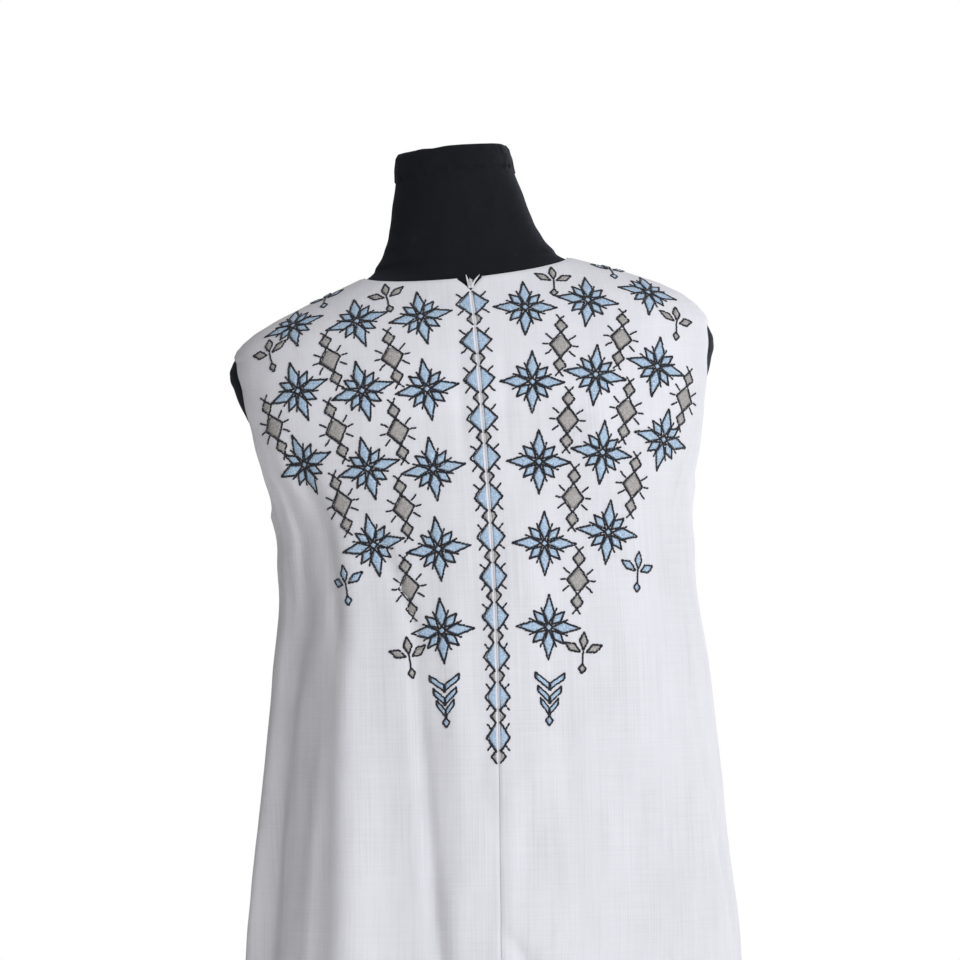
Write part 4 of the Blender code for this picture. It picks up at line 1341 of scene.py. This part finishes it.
# The stand's sizes, those of the solids
BASE_RADIUS = 0.190
BASE_TOP = 0.008
BASE_BEND = 0.003
FOOT_BEND = 0.0005
BOSS_RADIUS = 0.024
BOSS_FOOT = 0.0083
BOSS_TOP = 0.036
BOSS_BEND = 0.004
POLE_RADIUS = 0.0125
COLLAR_RADIUS = 0.045
COLLAR_THICK = 0.007
COLLAR_BEND = 0.002
HUB_RADIUS = 0.019
HUB_BEND = 0.0015
HUB_DROP = 0.047


def make_stand(paint, steel):
    """Base plate, boss, pole and collar, the solids' own shapes in finer steps."""
    collar_top = FORM_FOOT_HEIGHT - SEAM_GAP
    hub_foot = collar_top - HUB_DROP
    pieces = [
        ("stand_plate", "stand_base", "black_steel", paint, [
            (0, BASE_TOP),
            *rounded(BASE_RADIUS - BASE_BEND, BASE_TOP - BASE_BEND, BASE_BEND, 90, 0),
            *rounded(BASE_RADIUS - FOOT_BEND, FOOT_BEND, FOOT_BEND, 0, -90), (0, 0)]),
        ("pole_boss", "stand_boss", "black_steel", paint, [
            (0, BOSS_TOP),
            *rounded(BOSS_RADIUS - BOSS_BEND, BOSS_TOP - BOSS_BEND, BOSS_BEND, 90, 0),
            (BOSS_RADIUS, BOSS_FOOT), (0, BOSS_FOOT)]),
        ("pole_tube", "stand_pole", "bright_steel", steel, [
            (0, hub_foot - SEAM_GAP), (POLE_RADIUS, hub_foot - SEAM_GAP),
            (POLE_RADIUS, BOSS_TOP + SEAM_GAP), (0, BOSS_TOP + SEAM_GAP)]),
        ("form_collar", "stand_collar", "black_steel", paint, [
            (0, collar_top), (COLLAR_RADIUS, collar_top),
            *rounded(COLLAR_RADIUS - COLLAR_BEND, collar_top - COLLAR_THICK + COLLAR_BEND,
                     COLLAR_BEND, 0, -90),
            (HUB_RADIUS, collar_top - COLLAR_THICK),
            *rounded(HUB_RADIUS - HUB_BEND, hub_foot + HUB_BEND, HUB_BEND, 0, -90), (0, hub_foot)]),
    ]
    for name, node, slot, material, profile in pieces:
        belongs(turned(name, profile, material), node)


# Zip


TAPE_TOP = 1.3795
TAPE_ROWS = 180
TAPE_TOP_ROWS = 24
TAPE_GAP = 0.0003
COIL_BEHIND = 0.0011
COIL_INSET = 0.0010
COIL_POINTS = 1900
TAPE_END_FOOT = 1.3700
TAPE_END_TOP = 1.3812


def make_tape_ends(tape_cloth):
    """The free tops of the tapes above the slider: pointed strips, narrowing with the square root
    of what is left of their length, the left one leaning in and the right one curling out to its
    edge with the square of its height."""
    t = np.linspace(0, 0.995, 24)
    height = TAPE_END_FOOT + (TAPE_END_TOP - TAPE_END_FOOT) * t
    for hand, offset in (("left", 0.0008 + 0.0022 * t), ("right", -0.0012 - 0.0075 * t**1.6)):
        middle = cloth_point(0 * t + math.pi / 2, height)
        normal = cloth_normal(0 * t + math.pi / 2, height)
        path = middle + normal * (0.0004 + 0.0012 * t)[:, None]
        path[:, 0] = path[:, 0] + offset
        half_width = 0.0011 * np.sqrt(1 - t) + 0.0001
        strip = swept(f"tape_end_{hand}", path, normal, half_width, 0.00035, tape_cloth)
        belongs(strip)


def tape_strip(name, angle, height, side, material):
    """A tape as a thin shell a little behind the cloth, which it follows from the panel's edge to
    TAPE_WIDTH away from it."""
    width = np.linspace(0, TAPE_WIDTH, 9)
    places = [walk(angle, height, 0 * height - side * step, 0 * height) for step in width]
    behind = CLOTH_THICK / 2 + TAPE_GAP
    points = [cloth_point(*place) - cloth_normal(*place) * behind for place in places]
    points = np.stack(points, axis=1)
    uv = np.stack(np.broadcast_arrays(width[None, :], run_along(points[:, 0])[:, None]), axis=-1)
    strip = new_piece(name, points, grid_faces(grid_index(points))[:, ::-side], material, uv)
    return walled(strip, TAPE_THICK)


def along_run(place, run, values):
    """Points or directions given at the distances run, read off at the distances place."""
    return np.stack([np.interp(place, run, values[:, k]) for k in range(3)], axis=-1)


def make_zip(tape_cloth, metal):
    """Tapes behind both edges, which run on up the V to the neckline, and their coils."""
    height = np.concatenate([
        np.linspace(ZIP_END_HEIGHT, V_FOOT_HEIGHT, TAPE_ROWS),
        np.linspace(V_FOOT_HEIGHT, TAPE_TOP, TAPE_TOP_ROWS)[1:]])
    for side, hand in ((1, "left"), (-1, "right")):
        from_side = angle_from_side(v_opening(height), height)
        angle = whole_angle(from_side, side, False)
        edge = cloth_point(angle, height)
        normal = cloth_normal(angle, height)
        heading = unit(np.gradient(edge, axis=0))
        away = unit(np.cross(normal, heading)) * side
        behind = edge - normal * (CLOTH_THICK / 2 + TAPE_GAP)
        tape = tape_strip(f"tape_{hand}", angle, height, side, tape_cloth)
        belongs(tape, f"zip_tape_{hand}")
        run = run_along(edge)
        place = np.linspace(0, 1, COIL_POINTS) * run[-1]
        core = along_run(place, run, behind - normal * COIL_BEHIND + away * COIL_INSET)
        outward = unit(along_run(place, run, normal))
        swell = COIL_RADIUS * (0.82 + 0.18 * np.cos(2 * math.pi * place / COIL_PITCH))
        coil = swept(f"coil_{hand}", core, outward, swell * 1.4, swell, tape_cloth, 6)
        belongs(coil)
    make_tape_ends(tape_cloth)
    for node in ("zip_slider", "zip_pull"):
        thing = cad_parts[node]
        thing.data.materials.clear()
        thing.data.materials.append(metal)


# Stage, lights and camera

TARGET = (0.0280, 0.0, 1.2112)
CAMERA_DISTANCE = 3.2
CAMERA_YAW = math.radians(2.48)
CAMERA_PITCH = math.radians(3.38)
CAMERA_ROLL = math.radians(-0.42)
FOCAL_PIXELS = 3726.6
PICTURE_PIXELS = 960
SENSOR = 36.0
AMBIENT_LOW = 0.22
AMBIENT_HIGH = 0.42
AMBIENT_SIDE = 0.66
LIGHT_COLOUR = (0.96, 0.965, 1.0)
FLOOR_REACH = 4
FLOOR_HEIGHT = -0.0005


def make_camera():
    """The camera looks at the target from the back, turned and tilted, rolled about its own axis."""
    forward = Vector((
        -math.sin(CAMERA_YAW) * math.cos(CAMERA_PITCH),
        -math.cos(CAMERA_YAW) * math.cos(CAMERA_PITCH),
        math.sin(CAMERA_PITCH)))
    right = forward.cross(Vector((0, 0, 1))).normalized()
    up = right.cross(forward)
    turned_right = right * math.cos(CAMERA_ROLL) + up * math.sin(CAMERA_ROLL)
    turned_up = up * math.cos(CAMERA_ROLL) - right * math.sin(CAMERA_ROLL)
    data = bpy.data.cameras.new("camera")
    data.sensor_width = SENSOR
    data.lens = SENSOR * FOCAL_PIXELS / PICTURE_PIXELS
    camera = bpy.data.objects.new("camera", data)
    axes = Matrix((turned_right, turned_up, -forward)).transposed().to_4x4()
    camera.matrix_world = Matrix.Translation(Vector(TARGET) - forward * CAMERA_DISTANCE) @ axes
    bpy.context.scene.collection.objects.link(camera)
    bpy.context.scene.camera = camera


def area_light(name, place, aim, size, power):
    """A soft round light at a place, turned to its aim."""
    data = bpy.data.lights.new(name, "AREA")
    data.shape = "DISK"
    data.size = size
    data.energy = power
    data.color = LIGHT_COLOUR
    light = bpy.data.objects.new(name, data)
    turned_to_aim = (Vector(aim) - Vector(place)).to_track_quat("-Z", "Y").to_matrix().to_4x4()
    light.matrix_world = Matrix.Translation(place) @ turned_to_aim
    bpy.context.scene.collection.objects.link(light)


def make_stage():
    """A pale floor, three soft lights, and a world that is white where it is seen and lights the
    dress more from above and from the side that the photograph is lit from."""
    corners = [(x * FLOOR_REACH, y * FLOOR_REACH, FLOOR_HEIGHT)
               for x, y in ((-1, -1), (1, -1), (1, 1), (-1, 1))]
    floor = new_piece("floor", corners, [(0, 1, 2, 3)], pale_floor("floor"))
    world = bpy.data.worlds.new("studio")
    world.use_nodes = True
    nodes, links = world.node_tree.nodes, world.node_tree.links
    seen, given = nodes["Background"], nodes.new("ShaderNodeBackground")
    seen.inputs["Color"].default_value = (1.0, 1.0, 1.0, 1)
    seen.inputs["Strength"].default_value = 1.0
    given.inputs["Color"].default_value = (0.96, 0.96, 0.97, 1)
    place, split = nodes.new("ShaderNodeTexCoord"), nodes.new("ShaderNodeSeparateXYZ")
    height = nodes.new("ShaderNodeMapRange")
    spans = {"From Min": -0.3, "From Max": 0.8, "To Min": AMBIENT_LOW, "To Max": AMBIENT_HIGH}
    for socket, value in spans.items():
        height.inputs[socket].default_value = value
    links.new(place.outputs["Generated"], split.inputs[0])
    links.new(split.outputs["Z"], height.inputs["Value"])
    side, strength = nodes.new("ShaderNodeMath"), nodes.new("ShaderNodeMath")
    side.operation, strength.operation = "MULTIPLY_ADD", "MULTIPLY"
    links.new(split.outputs["X"], side.inputs[0])
    side.inputs[1].default_value, side.inputs[2].default_value = -AMBIENT_SIDE, 1.0
    links.new(height.outputs[0], strength.inputs[0])
    links.new(side.outputs[0], strength.inputs[1])
    links.new(strength.outputs[0], given.inputs["Strength"])
    path, mix = nodes.new("ShaderNodeLightPath"), nodes.new("ShaderNodeMixShader")
    links.new(path.outputs["Is Camera Ray"], mix.inputs["Fac"])
    links.new(given.outputs[0], mix.inputs[1])
    links.new(seen.outputs[0], mix.inputs[2])
    links.new(mix.outputs[0], nodes["World Output"].inputs["Surface"])
    bpy.context.scene.world = world
    bpy.context.scene.view_settings.view_transform = "Standard"
    area_light("key", (-1.70, 2.35, 2.20), (0, 0, 1.25), 1.0, 33)
    area_light("back_key", (-0.15, 3.05, 1.60), (0, 0, 1.20), 1.0, 20)
    area_light("front_key", (-2.20, -2.30, 1.60), (0, 0, 1.0), 1.2, 31)


cloth = linen("white_cloth", (0.80, 0.80, 0.84))
make_camera()
make_stage()
panels = make_dress(cloth)
make_embroidery(
    thread("blue_thread", (0.45, 0.60, 0.80), 0.0005, 0.36),
    thread("grey_thread", (0.43, 0.41, 0.395), 0.0005, 0.34),
    thread("dark_thread", (0.006, 0.008, 0.016), 0.0006, 0.4),
    thread("white_thread", (0.78, 0.78, 0.81), 0.0006, 0.1),
)
make_form(jersey("black_jersey"))
make_stand(
    painted_steel("black_steel"),
    brushed_steel("bright_steel", (0.55, 0.55, 0.56), (900, 900, 6)),
)
make_zip(
    linen("zip_tape", (0.80, 0.80, 0.82)),
    brushed_steel("zip_metal", (0.86, 0.86, 0.88), (3000, 3000, 300), 0.6),
)
